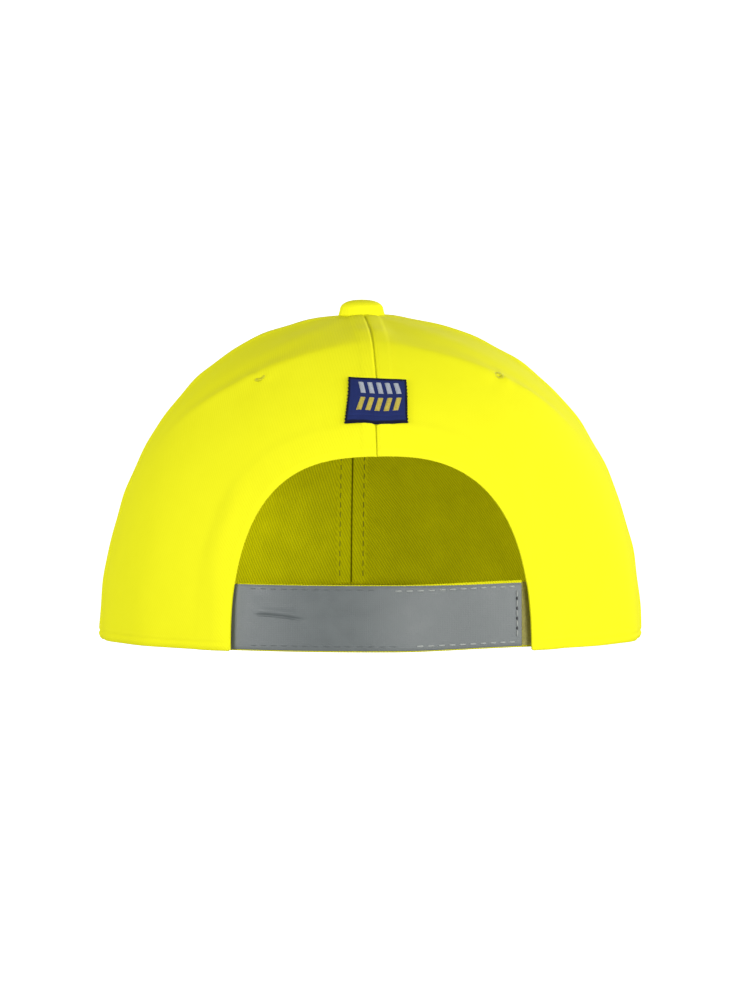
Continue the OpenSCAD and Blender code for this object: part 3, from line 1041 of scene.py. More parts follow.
@dataclass
class CrownPanels:
    """The four quarters of the crown, with the half-moon opening in the two rear ones."""

    finish: Wardrobe
    thickness: float = 1.0 * MM
    cut: tuple[float, float] = (151 * MM, 154 * MM)
    rows: int = 110
    gap: float = 0.0003

    def heights(self) -> Array:
        """Steps up a panel, finer at the hem."""
        low = np.linspace(0, 0.03, 13)
        return np.concatenate([low[:-1], np.linspace(0.03, 1, self.rows - 12)])

    def cloth(self, turns: Array, z: Array, middle: float) -> Array:
        """Place on the flat cloth of each point of a panel.

        Args:
            turns: Turn of each point.
            z: Height above the rim.
            middle: Turn of the panel's middle.

        Returns:
            Places across and up.
        """
        heights = np.linspace(0, CROWN.height - 2e-5, 600)
        line = CROWN.base(np.full(600, middle), heights, 0)
        run = np.append(0, np.cumsum(np.linalg.norm(np.diff(line, axis=0), axis=1)))
        across = (turns - middle) * CROWN.share(turns, z, 0) * 0.095
        return np.stack([across, np.interp(z, heights, run)], -1)

    def quarter(self, name: str, turns: Array, tops: Array, lows: Array,
                middle: float) -> bpy.types.Object:
        """Makes one panel.

        Args:
            name: Its name.
            turns: Turn of each column's lower end.
            tops: Turn of each column's upper end.
            lows: Height of each column's lower end.
            middle: Turn of the panel's grain line.

        Returns:
            The panel.
        """
        low, steps = lows[:, None], self.heights()[None]
        t = turns[:, None] + (tops - turns)[:, None] * steps
        faces = []
        for depth in (0.0, self.thickness):
            z = CROWN.rows(t, low, CROWN.height_at(t, CROWN.tip_share, depth), depth, steps)
            proud = CROWN.tailoring(t, z) if depth == 0 else 0.0
            faces.append(CROWN.at(t, z, depth, proud))
            if depth == 0:
                cloth = self.cloth(t, z, middle)
        work = Patchwork()
        closed_sheet(work, faces[0], faces[1], cloth, 1, flip=turns[0] < turns[-1])
        return work.build(name, [self.finish.twill, self.finish.inside])

    def rear(self, side: int) -> bpy.types.Object:
        """Makes a rear quarter. side is 1 on the left and -1 on the right.

        Args:
            side: 1 on the left and -1 on the right.

        Returns:
            The panel.
        """
        angle = np.linspace(PI / 2, 0, 900)
        x, z = CROWN.arch(angle, 0.0)
        turn = np.maximum(side * CROWN.turn_at(side * x, z, 0), self.gap)
        last = PI / 2 - self.gap
        turn = np.append(np.maximum.accumulate(turn), np.linspace(turn[-1], last, 300)[1:])
        z = np.append(z, np.zeros(299))
        step = np.hypot(np.diff(turn) * 0.09, np.diff(z))
        run = np.append(0, np.cumsum(step))
        even = run[-1] * packed_steps(190, 0.05, 0.12)
        low_turn = np.interp(even, run, turn)
        tops = self.gap + (last - self.gap) * even / run[-1]
        name = "left_rear_panel" if side > 0 else "right_rear_panel"
        return self.quarter(name + "_cloth", side * low_turn, side * tops,
                            np.interp(even, run, z), side * PI / 4)

    def front(self, side: int) -> bpy.types.Object:
        """Makes a front quarter. side is 1 on the left and -1 on the right.

        Args:
            side: 1 on the left and -1 on the right.

        Returns:
            The panel.
        """
        end = CROWN.front_seam - self.gap if side > 0 else 2 * PI - CROWN.front_seam - self.gap
        start = PI / 2 + self.gap
        turns = side * (start + (end - start) * packed_steps(104, 0.05, 0.12))
        name = "left_front_panel" if side > 0 else "right_front_panel"
        return self.quarter(name + "_cloth", turns, turns, CROWN.rim(turns), side * 0.75 * PI)

    def build(self) -> list[bpy.types.Object]:
        """Makes all four and ties them to the crown.

        Returns:
            The pieces.
        """
        made = []
        for side, word in ((1, "left"), (-1, "right")):
            for piece, node in ((self.rear(side), f"{word}_rear_panel"),
                                (self.front(side), f"{word}_front_panel")):
                area = cut_area(node, self.thickness)
                dress(piece, "crown", (node,))
                made.append(piece)
        return made


@dataclass
class Turnings:
    """Pressed-open seam turnings and the facing of the opening, inside the crown."""

    finish: Wardrobe
    depth: float = 1.2 * MM
    thickness: float = 0.5 * MM
    width: float = 10.4 * MM
    facing_w: float = 12.0 * MM
    facing_cut: tuple[float, float] = (210 * MM, 17 * MM)
    facing_t: float = 0.6 * MM
    sweatband_h: float = 9.2 * MM

    def strip_at(self, seam: float, offset: Array, z: Array, depth: float,
                 proud: Array | float = 0.0) -> Array:
        """Points beside a seam, offset across it.

        Args:
            seam: Turn at which the seam is.
            offset: Distance across the seam.
            z: Height above the rim.
            depth: Depth under the outer face.
            proud: Height over the layer.

        Returns:
            The points.
        """
        half = CROWN.half_l if abs(math.sin(seam)) > 0.5 else CROWN.half_w
        size = (half - depth) * CROWN.share(np.full(np.shape(z), seam), z, depth)
        return CROWN.at(seam + np.arcsin(offset / size), z, depth, proud)

    def seam(self, node: str, seam: float, low: float) -> tuple[bpy.types.Object, Patchwork]:
        """Makes the turnings of one seam and its two rows of stitches.

        Args:
            node: The plain part that they stand for.
            seam: The seam's turn.
            low: Height of their lower end.

        Returns:
            The piece, and the stitches, which aren't an object yet.
        """
        across = np.linspace(-1, 1, 43)[:, None] * self.width / 2
        steps = np.linspace(0, 1, 120)[None]
        faces, line = [], None
        for depth in (self.depth, self.depth + self.thickness):
            top = CROWN.height_at(np.array(seam), 0.12, depth)
            z = CROWN.rows(np.array(seam), np.array(low), top, depth, steps)
            z = np.broadcast_to(z, (43, 120))
            ripple = 0.06 * MM * np.sin(z / 0.0031 + 2 * seam) * (np.abs(across) > 4.4 * MM)
            deep = 0.2 if depth == self.depth else 0.6
            groove = MM * (deep * bump(across, 0, 0.34 * MM) - 0.25 * bump(across, -0.9 * MM, 0.6 * MM))
            faces.append(self.strip_at(seam, across + 0 * z, z, depth, groove - ripple))
            line = z[0]
        work = Patchwork()
        run = np.append(0, np.cumsum(np.linalg.norm(np.diff(faces[1][21], axis=0), axis=1)))
        cloth = np.stack(np.broadcast_arrays(across + self.width / 2, run[None]), -1)
        closed_sheet(work, faces[0], faces[1], cloth, 0, flip=True)
        piece = work.build(node + "_cloth", [self.finish.pressed])
        dress(piece, "crown", (node,))
        rows = Patchwork()
        inner = self.depth + self.thickness
        for side in (-1, 1):
            path = self.strip_at(seam, np.full(120, side * 4.0 * MM), line, inner)
            ups = -CROWN.normal(np.full(120, seam), line)
            StitchRow(2.2 * MM, 1.2 * MM, 0.15 * MM).sew(rows, path, ups)
        return piece, rows

    def facing(self) -> tuple[bpy.types.Object, Patchwork]:
        """Makes the band inside the opening's edge, and its row of stitches.

        Returns:
            The band, and the rows of stitches.
        """
        angle = np.linspace(0, PI, 190)[:, None]
        grow = np.linspace(0, 1, 22)[None] * self.facing_w
        faces = []
        x, z = CROWN.arch(angle, grow)
        for depth in (self.depth, self.depth + self.facing_t):
            ripple = 0.12 * MM * np.sin(angle * 38) * bump(grow, self.facing_w, 3 * MM)
            lip = -0.35 * MM * ease(grow, 2.2 * MM, 0) if depth == self.depth else 0
            faces.append(CROWN.rear_at(x, z, depth, lip - ripple * (depth > self.depth)))
        work = Patchwork()
        closed_sheet(work, faces[0], faces[1], None, 0)
        piece = work.build("opening_facing_cloth", [self.finish.inside])
        dress(piece, "crown", ("opening_facing",))
        rows = Patchwork()
        angle = np.linspace(0.14, PI - 0.14, 400)
        x, z = CROWN.arch(angle, self.facing_w - 1.5 * MM)
        turn = CROWN.turn_at(x, z, self.depth)
        path = CROWN.rear_at(x, z, self.depth + self.facing_t)
        StitchRow().sew(rows, path, -CROWN.normal(turn, z))
        return piece, rows

    def build(self) -> list[bpy.types.Object]:
        """Makes every turning, the facing and one piece that holds their stitches.

        Returns:
            The pieces.
        """
        over = self.sweatband_h + 1.2 * MM
        lows = (CROWN.opening_h + self.facing_w + 0.5 * MM, over,
                CROWN.rim_rise + self.sweatband_h + 0.6 * MM, over)
        made, thread = [], Patchwork()
        names = ("rear", "left", "front", "right")
        parts = [self.seam(f"{name}_seam_turnings", seam, low)
                 for name, seam, low in zip(names, CROWN.seams, lows)]
        for piece, rows in [*parts, self.facing()]:
            made.append(piece)
            for points, quads, cloth in zip(rows.points, rows.quads, rows.cloth):
                thread.add(points, quads - quads.min(), 0, cloth)
        sewn = thread.build("inside_seam_stitching", [self.finish.dull_thread])
        made.append(dress(sewn, "crown", ()))
        return made


@dataclass
class Sweatband:
    """Soft folded band inside the rim, stitched along its lower edge."""

    finish: Wardrobe
    height: float = 9.2 * MM
    thickness: float = 2.0 * MM
    depth: float = 1.25 * MM
    start_x: float = 65.5 * MM
    foot: float = 0.5 * MM

    def build(self) -> list[bpy.types.Object]:
        """Makes the band and its stitches.

        Returns:
            The pieces.
        """
        start = float(CROWN.turn_at(np.array(self.start_x), np.array(0.0), 0.0))
        turns = np.linspace(start, 2 * PI - start, 520)[:, None]
        steps = np.linspace(0, 1, 16)[None]
        rim = CROWN.rim(turns)
        foot = rim + self.foot
        z = foot + (self.height - self.foot * rim / CROWN.rim_rise) * steps
        plump = np.sin(PI * np.clip(steps, 0, 1)) ** 0.6
        seam = bump(steps, 0.18, 0.07)
        crush = 0.12 * np.sin(41 * turns) * np.sin(PI * steps) + 0.08 * np.sin(67 * turns + 1)
        back = self.depth + self.thickness * (0.5 - 0.5 * plump)
        front = self.depth + self.thickness * (0.5 + 0.5 * plump) - MM * (0.45 * seam + crush)
        faces = []
        for depth in (back, front):
            flat = CROWN.at(turns, z, 0.0)
            faces.append(flat - CROWN.normal(turns, z) * depth[..., None])
        work = Patchwork()
        closed_sheet(work, faces[0], faces[1], None, 0, flip=True)
        band = work.build("sweatband_roll", [self.finish.sweat_cotton])
        dress(band, "crown", ("sweatband",))
        rows = Patchwork()
        t = np.linspace(start + 0.01, 2 * PI - start - 0.01, 900)
        z = CROWN.rim(t) + self.foot + 0.18 * self.height
        path = CROWN.at(t, z, 0.0) - CROWN.normal(t, z) * (self.depth + self.thickness * 0.78)
        StitchRow(2.6 * MM, 1.0 * MM).sew(rows, path, -CROWN.normal(t, z))
        sewn = rows.build("sweatband_stitching", [self.finish.yellow_thread])
        return [band, dress(sewn, "crown", ())]


@dataclass
class Visor:
    """Peaked visor: two covers that meet below the edge, with rows of stitching over the board."""

    finish: Wardrobe
    length: float = 68.0 * MM
    half_w: float = 86.0 * MM
    half_angle: float = math.radians(65)
    arch: float = 14.0 * MM
    thickness: float = 3.0 * MM
    cover_t: float = 0.6 * MM
    cut: tuple[float, float] = (170 * MM, 128 * MM)
    power: float = 0.93
    row_gap: float = 7.5 * MM
    row_count: int = 7

    def point(self, across: Array, out: Array, inset: Array, lift: Array) -> Array:
        """Point on the visor.

        Args:
            across: From -1 at the right to 1 at the left.
            out: From 0 at the crown to 1 at the front edge.
            inset: Distance of the outline inside the full one.
            lift: Height above the underside.

        Returns:
            The point, in metres.
        """
        across, out, inset, lift = np.broadcast_arrays(across, out, inset, lift)
        turn = PI - self.half_angle * across
        root = np.stack([(CROWN.half_w + 0.2 * MM) * np.sin(turn),
                         (CROWN.half_l + 0.2 * MM) * np.cos(turn)], -1)
        start = CROWN.half_l * math.cos(self.half_angle)
        reach = CROWN.half_l + self.length - start - inset
        angle = PI / 2 * (1 - across)
        c, s = np.cos(angle), np.sin(angle)
        edge = np.stack([(self.half_w - inset) * np.sign(c) * np.abs(c) ** self.power,
                         -start - reach * np.abs(s) ** self.power], -1)
        full = (out * (1 - np.abs(across) ** 14))[..., None]
        p = root + (edge - root) * full
        tip = CROWN.half_l + self.length - 0.08
        ahead = np.clip((-p[..., 1] - 0.08) / tip, 0, 1)
        centre = CROWN.rim_rise + (self.arch - CROWN.rim_rise) * ahead**1.6
        return np.stack([p[..., 0], p[..., 1], centre * CROWN.visor_drop(p[..., 0]) + lift], -1)

    def relief(self, across: Array, out: Array) -> Array:
        """Height of the cover between its sunken rows of stitches.

        Args:
            across: Place across the visor, from -1 to 1.
            out: Place from the crown, at 0, to the front edge, at 1.

        Returns:
            The heights.
        """
        line = np.hypot(*np.moveaxis(self.point(across, out, 0.0, 0.0)
                                     - self.point(across, 1.0, 0.0, 0.0), -1, 0)[:2])
        row = line / self.row_gap
        near = np.abs(row - np.round(row)) * self.row_gap
        sunk = -0.22 * MM * np.exp(-((near / (0.8 * MM)) ** 2))
        live = (np.round(row) >= 1) & (np.round(row) <= self.row_count)
        return np.where(live, sunk, 0) * ease(np.abs(across), 0.97, 0.9)

    def cover(self, top: bool) -> bpy.types.Object:
        """Makes one cover, which rolls round the board's edge to the seam under it.

        Args:
            top: Whether it is the upper cover.

        Returns:
            The cover.
        """
        across = 0.997 * np.sin(np.linspace(-PI / 2, PI / 2, 320))[:, None]
        out = np.linspace(0, 1, 92)[None]
        roll = np.radians(np.linspace(8, 104, 9) if top else np.linspace(172, 110, 6))[None]
        half = self.thickness / 2
        faces = []
        for skin in (0.0, self.cover_t):
            r = half - skin
            side = r if top else -r
            sink = self.relief(across, out) * (1 if top else -1)
            flat = self.point(across, out, half, half + side + sink)
            bend = self.point(across, 1.0, half - r * np.sin(roll), half + r * np.cos(roll))
            faces.append(np.concatenate([flat, bend], 1))
        work = Patchwork()
        closed_sheet(work, faces[0], faces[1], None, 1 if top else 0, flip=not top)
        name = "visor_top_cover" if top else "visor_under_cover"
        face = self.finish.twill if top else self.finish.inside
        piece = work.build(name + "_cloth", [face, self.finish.inside])
        dress(piece, "crown", (name,))
        cut_area(name, self.cover_t)
        return piece

    def stitching(self) -> bpy.types.Object:
        """Makes the concentric rows on both faces.

        Returns:
            The stitches.
        """
        work = Patchwork()
        across = np.linspace(-0.93, 0.93, 700)
        edge = self.point(across, 1.0, 0.0, 0.0)
        root = self.point(across, 0.0, 0.0, 0.0)
        span = np.linalg.norm((edge - root)[:, :2], axis=1)
        for k in range(1, self.row_count + 1):
            out = 1 - k * self.row_gap / span
            keep = out > 0.03
            for top in (True, False):
                lift = self.thickness if top else 0.0
                sink = self.relief(across, out) * (1 if top else -1)
                path = self.point(across, out, self.thickness / 2, lift + sink)[keep]
                up = np.zeros_like(path)
                up[:, 2] = 1 if top else -1
                if keep.sum() > 20:
                    StitchRow().sew(work, path, up)
        return work.build("visor_stitching", [self.finish.yellow_thread])

    def build(self) -> list[bpy.types.Object]:
        """Makes both covers and the stitching, and finishes the board.

        Returns:
            The pieces.
        """
        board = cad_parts["visor_board"]
        board.data.materials.clear()
        board.data.materials.append(self.finish.board)
        sewn = dress(self.stitching(), "crown", ())
        return [self.cover(True), self.cover(False), sewn]


@dataclass
class TopButton:
    """Cloth-covered button at the crown's tip, with its metal shell and rivet."""

    finish: Wardrobe
    radius: float = 7.5 * MM
    height: float = 5.2 * MM
    wall: float = 1.6 * MM
    thickness: float = 0.5 * MM

    def outline(self, shrink: float) -> Array:
        """Half section of the cover, from the middle of its top to its folded edge.

        Args:
            shrink: How much smaller the section is.

        Returns:
            Radius and height of each point.
        """
        r, h = self.radius - 0.2 * MM - shrink, self.height - shrink
        dome = [(r * math.sin(a) ** 0.84, self.wall + (h - self.wall) * math.cos(a) ** 0.84)
                for a in np.radians(np.linspace(0.2, 89.9, 30))]
        fold = [(r + 0.1 * MM, 1.0 * MM), (r + 0.3 * MM, 0.35 * MM), (r + 0.3 * MM, -0.15 * MM),
                (r - 0.4 * MM, -0.25 * MM + shrink), (r - 1.6 * MM, shrink - 0.2 * MM)]
        return np.array(dome + fold)

    def build(self) -> list[bpy.types.Object]:
        """Makes the cover with its gathers, and finishes the metal.

        Returns:
            The pieces.
        """
        angle = np.linspace(0, 2 * PI, 145)[:, None]
        faces = []
        for shrink in (0.0, self.thickness):
            half = self.outline(shrink)
            r, z = half[None, :, 0], half[None, :, 1]
            low = ease(z, self.height * 0.62, 0.0)
            gather = 0.09 * np.sin(17 * angle) + 0.05 * np.sin(29 * angle + 1)
            seat = 0.12 * np.sin(2 * angle + 0.6)
            r = r + MM * (gather * low + seat * low)
            z = z + 0.1 * MM * np.sin(3 * angle) * ease(r, 0, self.radius) + 0.1 * MM
            faces.append(np.stack([r * np.cos(angle) + CROWN.tip_shift, r * np.sin(angle),
                                   z + CROWN.height], -1))
        work = Patchwork()
        closed_sheet(work, faces[0], faces[1], faces[0][..., :2] + faces[0][..., 2:], 1)
        cover = work.build("button_cover_cloth", [self.finish.twill, self.finish.inside])
        dress(cover, "crown", ("button_cover",))
        for name in ("button_shell", "button_rivet"):
            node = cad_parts[name]
            node.data.materials.clear()
            node.data.materials.append(self.finish.steel)
        return [cover]


@dataclass
class Eyelets:
    """Four embroidered vents, each a puckered ring of satin stitches round a small hole."""

    finish: Wardrobe
    thread: float = 0.17 * MM
    stitches: int = 48

    def ring(self, work: Patchwork, turn: Array, z: Array) -> None:
        """Embroiders one vent.

        Args:
            work: What the stitches are added to.
            turn: Turn of the vent's centre.
            z: Its height.
        """
        centre = CROWN.at(turn, z, 0.0, -0.36 * MM)
        up = CROWN.normal(turn, z)
        east = unit(np.cross(np.array([0.0, 0.0, 1.0]), up))
        north = np.cross(up, east)
        spin = np.linspace(0, 2 * PI, self.stitches, endpoint=False)[:, None]
        across = np.array([0.55, 0.75, 1.1, 1.5, 1.8, 2.0]) * MM
        lift = np.array([-0.4, 0.0, 0.14, 0.18, 0.1, -0.1]) * MM
        reach = across * (1 + 0.10 * np.sin(2 * spin + 0.8) + 0.04 * np.sin(7 * spin))
        sway = spin + 0.06 * np.sin(5 * spin)
        ray = east * np.cos(sway)[..., None] + north * np.sin(sway)[..., None]
        tilt = 0.25 * MM * np.sin(spin - 0.9)
        paths = centre + ray * reach[..., None] + up * (lift[None, :] - tilt)[..., None]
        tubes(work, paths, np.broadcast_to(up, paths.shape), self.thread, 6)
        spin = np.linspace(0, 2 * PI, 37)[:, None]
        rim = np.array([0.1, 0.5, 0.9, 1.9]) * MM
        ray = east * np.cos(spin)[..., None] + north * np.sin(spin)[..., None]
        sunk = np.array([-0.55, -0.4, -0.1, 0.0]) * MM
        cup = centre + ray * rim[:, None] + up * sunk[:, None]
        closed_sheet(work, cup, cup - up * 0.2 * MM)

    def build(self) -> list[bpy.types.Object]:
        """Makes all the rings as one piece.

        Returns:
            The pieces.
        """
        work = Patchwork()
        for turn in CROWN.eyelet_turns:
            self.ring(work, np.array(turn), np.array(CROWN.eyelet_z))
        piece = work.build("eyelet_embroidery", [self.finish.yellow_thread])
        return [dress(piece, "crown", ("vent_eyelets",))]


@dataclass
class Labels:
    """The navy label on the rear seam, with a plain motif, and the blank care label."""

    finish: Wardrobe
    width: float = 19.6 * MM
    low: float = 75.0 * MM
    height: float = 13.8 * MM
    cut_h: float = 20.0 * MM
    care_cut: tuple[float, float] = (23.6 * MM, 22.3 * MM)

    def place(self, u: Array, v: Array, proud: Array | float) -> Array:
        """Point on the label, u across and v up from 0 to 1.

        Args:
            u: Place across, from 0 to 1.
            v: Place up, from 0 to 1.
            proud: Height over the label.

        Returns:
            The points.
        """
        x = (u - 0.5) * (self.width + (1.3 - 1.9 * v) * MM) + 0.2 * MM
        sag = 0.24 * MM * np.sin(9 * u + 1.0) * (1 - v) + (0.5 + 0.4 * v) * MM * (u - 0.5)
        z = self.low + self.height * v + sag
        turn = CROWN.turn_at(x, z, 0.0)
        return CROWN.at(turn, z, 0.0, 0.92 * MM + proud)

    def woven(self) -> bpy.types.Object:
        """Makes the navy ground with its frayed edges and folded lower end.

        Returns:
            The label.
        """
        u, v = np.linspace(0, 1, 150)[:, None], np.linspace(0, 1, 112)[None]
        fray = 0.012 * np.sin(v * 120) * np.sin(v * 37 + 1)
        wide = np.where(u < 0.5, ease(u, 0.06, 0), -ease(u, 0.94, 1)) * -fray
        edge = ease(u, 0.05, 0) + ease(u, 0.95, 1) + ease(v, 0.06, 0) + ease(v, 0.94, 1)
        ribs = 0.025 * MM * np.sin(v * PI * 2 * self.height / (0.3 * MM))
        fold = 0.10 * MM * ease(v, 0.15, 0.1) - 0.12 * MM * bump(v, 0.165, 0.012)
        pull = 0.06 * MM * np.sin(u * 14) * np.sin(v * 9)
        proud = ribs + fold + pull - 0.28 * MM * np.clip(edge, 0, 1)
        faces = [self.place(u + wide, v + 0 * u, proud),
                 self.place(u + wide, v + 0 * u, -0.6 * MM + 0 * proud)]
        work = Patchwork()
        cloth = np.stack(np.broadcast_arrays(u * self.width, v * self.height), -1)
        closed_sheet(work, faces[0], faces[1], cloth, 0)
        piece = work.build("woven_label_cloth", [self.finish.navy])
        dress(piece, "crown", ("woven_label",))
        return piece

    def motif(self) -> bpy.types.Object:
        """Makes the plain motif: a row of pale slanted bars over a row of gold ones.

        Returns:
            The motif.
        """
        work = Patchwork()
        for low, high, first, lean, slot in ((0.66, 0.89, 0.14, 0.05, 0), (0.28, 0.56, 0.19, -0.05, 1)):
            for k in range(5):
                v = np.arange(low, high, 0.017)[:, None]
                reach = np.linspace(-1, 1, 5)[None]
                u = first + 0.15 * k + lean * (v - low) / (high - low) + reach * 0.041
                arch = 0.14 * MM * (1 - reach**2) - 0.02 * MM
                paths = self.place(u, v + 0 * u, arch + 0 * u)
                turn = CROWN.turn_at((u - 0.5) * self.width, 0 * u + self.low, 0.0)
                ups = CROWN.normal(turn, self.low + self.height * v + 0 * u)
                tubes(work, paths, ups, 0.14 * MM, 6, slot)
        piece = work.build("label_motif_yarn", [self.finish.motif_grey, self.finish.motif_gold])
        return dress(piece, "crown", ())

    def care(self) -> bpy.types.Object:
        """Makes the blank satin label at the wearer's left side.

        Returns:
            The label.
        """
        u, v = np.linspace(0, 1, 46)[:, None], np.linspace(0, 1, 46)[None]
        turn = math.radians(97) + math.radians(14) * u
        z = (16 + 22 * v) * MM
        curl = 0.14 * MM * np.sin(u * 7) * np.sin(v * 5 + 1)
        hem = 0.12 * MM * (ease(v, 0.08, 0.05) + ease(v, 0.92, 0.95))
        faces = [CROWN.at(turn, z, 1.2 * MM), CROWN.at(turn, z, 1.4 * MM, -hem - np.abs(curl))]
        work = Patchwork()
        closed_sheet(work, faces[0], faces[1], None, 0, flip=True)
        piece = work.build("care_label_ribbon", [self.finish.satin])
        dress(piece, "crown", ("inner_label",))
        return piece

    def build(self) -> list[bpy.types.Object]:
        """Makes both labels and the motif."""
        return [self.woven(), self.motif(), self.care()]


@dataclass
class Fuzz:
    """Pile of a hook or loop tape on a rectangular patch."""

    pitch: float
    tall: float
    radius: float
    seed: int = 7

    def places(self, wide: float, high: float) -> Array:
        """Slightly scattered places on a patch, as parts of its width and height.

        Args:
            wide: Width of the patch.
            high: Height of the patch.

        Returns:
            The places.
        """
        cols, rows = max(2, int(wide / self.pitch)), max(2, int(high / self.pitch))
        u, v = np.meshgrid((np.arange(cols) + 0.5) / cols, (np.arange(rows) + 0.5) / rows)
        shake = np.random.default_rng(self.seed).uniform(-0.35, 0.35, (2, *u.shape))
        return np.stack([u + shake[0] / cols, v + shake[1] / rows], -1).reshape(-1, 2)

    def loops(self, work: Patchwork, surface: Callable[[Array, Array, Array], Array],
              wide: float, high: float, slot: int = 0) -> None:
        """Adds small arches of yarn.

        Args:
            work: What they are added to.
            surface: Gives the point for a place across and up and a height over the tape.
            wide: Width of the patch.
            high: Height of the patch.
            slot: The finish that they take.
        """
        at = self.places(wide, high)
        rng = np.random.default_rng(self.seed + 1)
        spin = rng.uniform(0, 2 * PI, (len(at), 1))
        size = rng.uniform(0.5, 0.95, (len(at), 1)) * self.pitch
        t = np.linspace(0, 1, 6)[None]
        lean = (t - 0.5) * size
        u = np.clip(at[:, :1] + lean * np.cos(spin) / wide, 0.004, 0.996)
        v = np.clip(at[:, 1:] + lean * np.sin(spin) / high, 0.01, 0.99)
        tall = self.tall * rng.uniform(0.55, 1.0, (len(at), 1))
        paths = surface(u, v, np.sin(PI * t) * tall)
        base = surface(u, v, np.zeros_like(u))
        ups = unit(np.cross(unit(paths[:, -1] - paths[:, 0]), base[:, 3] - paths[:, 3] + 1e-9))
        tubes(work, paths, ups, self.radius, 4, slot)

    def hooks(self, work: Patchwork, surface: Callable[[Array, Array, Array], Array],
              wide: float, high: float, slot: int = 0) -> None:
        """Adds small moulded hooks, which lean to either side by turns.

        Args:
            work: What they are added to.
            surface: Gives the point for a place across and up and a height over the tape.
            wide: Width of the patch.
            high: Height of the patch.
            slot: The finish that they take.
        """
        at = self.places(wide, high)
        side = np.where(np.arange(len(at)) % 2, 1.0, -1.0)[:, None]
        t = np.array([0.0, 0.35, 0.7, 0.92, 1.0, 0.86])[None]
        over = np.array([0.0, 0.0, 0.04, 0.22, 0.45, 0.62])[None] * self.tall * 0.9
        u = np.clip(at[:, :1] + side * over / wide, 0.004, 0.996)
        v = at[:, 1:] + 0 * u
        paths = surface(u, v, t * self.tall + 0 * u)
        ups = unit(np.cross(paths[:, 1] - paths[:, 0], paths[:, -1] - paths[:, 0]))
        tubes(work, paths, ups, np.array([1.3, 1.0, 1.0, 1.0, 0.9, 0.5]) * self.radius, 6, slot)


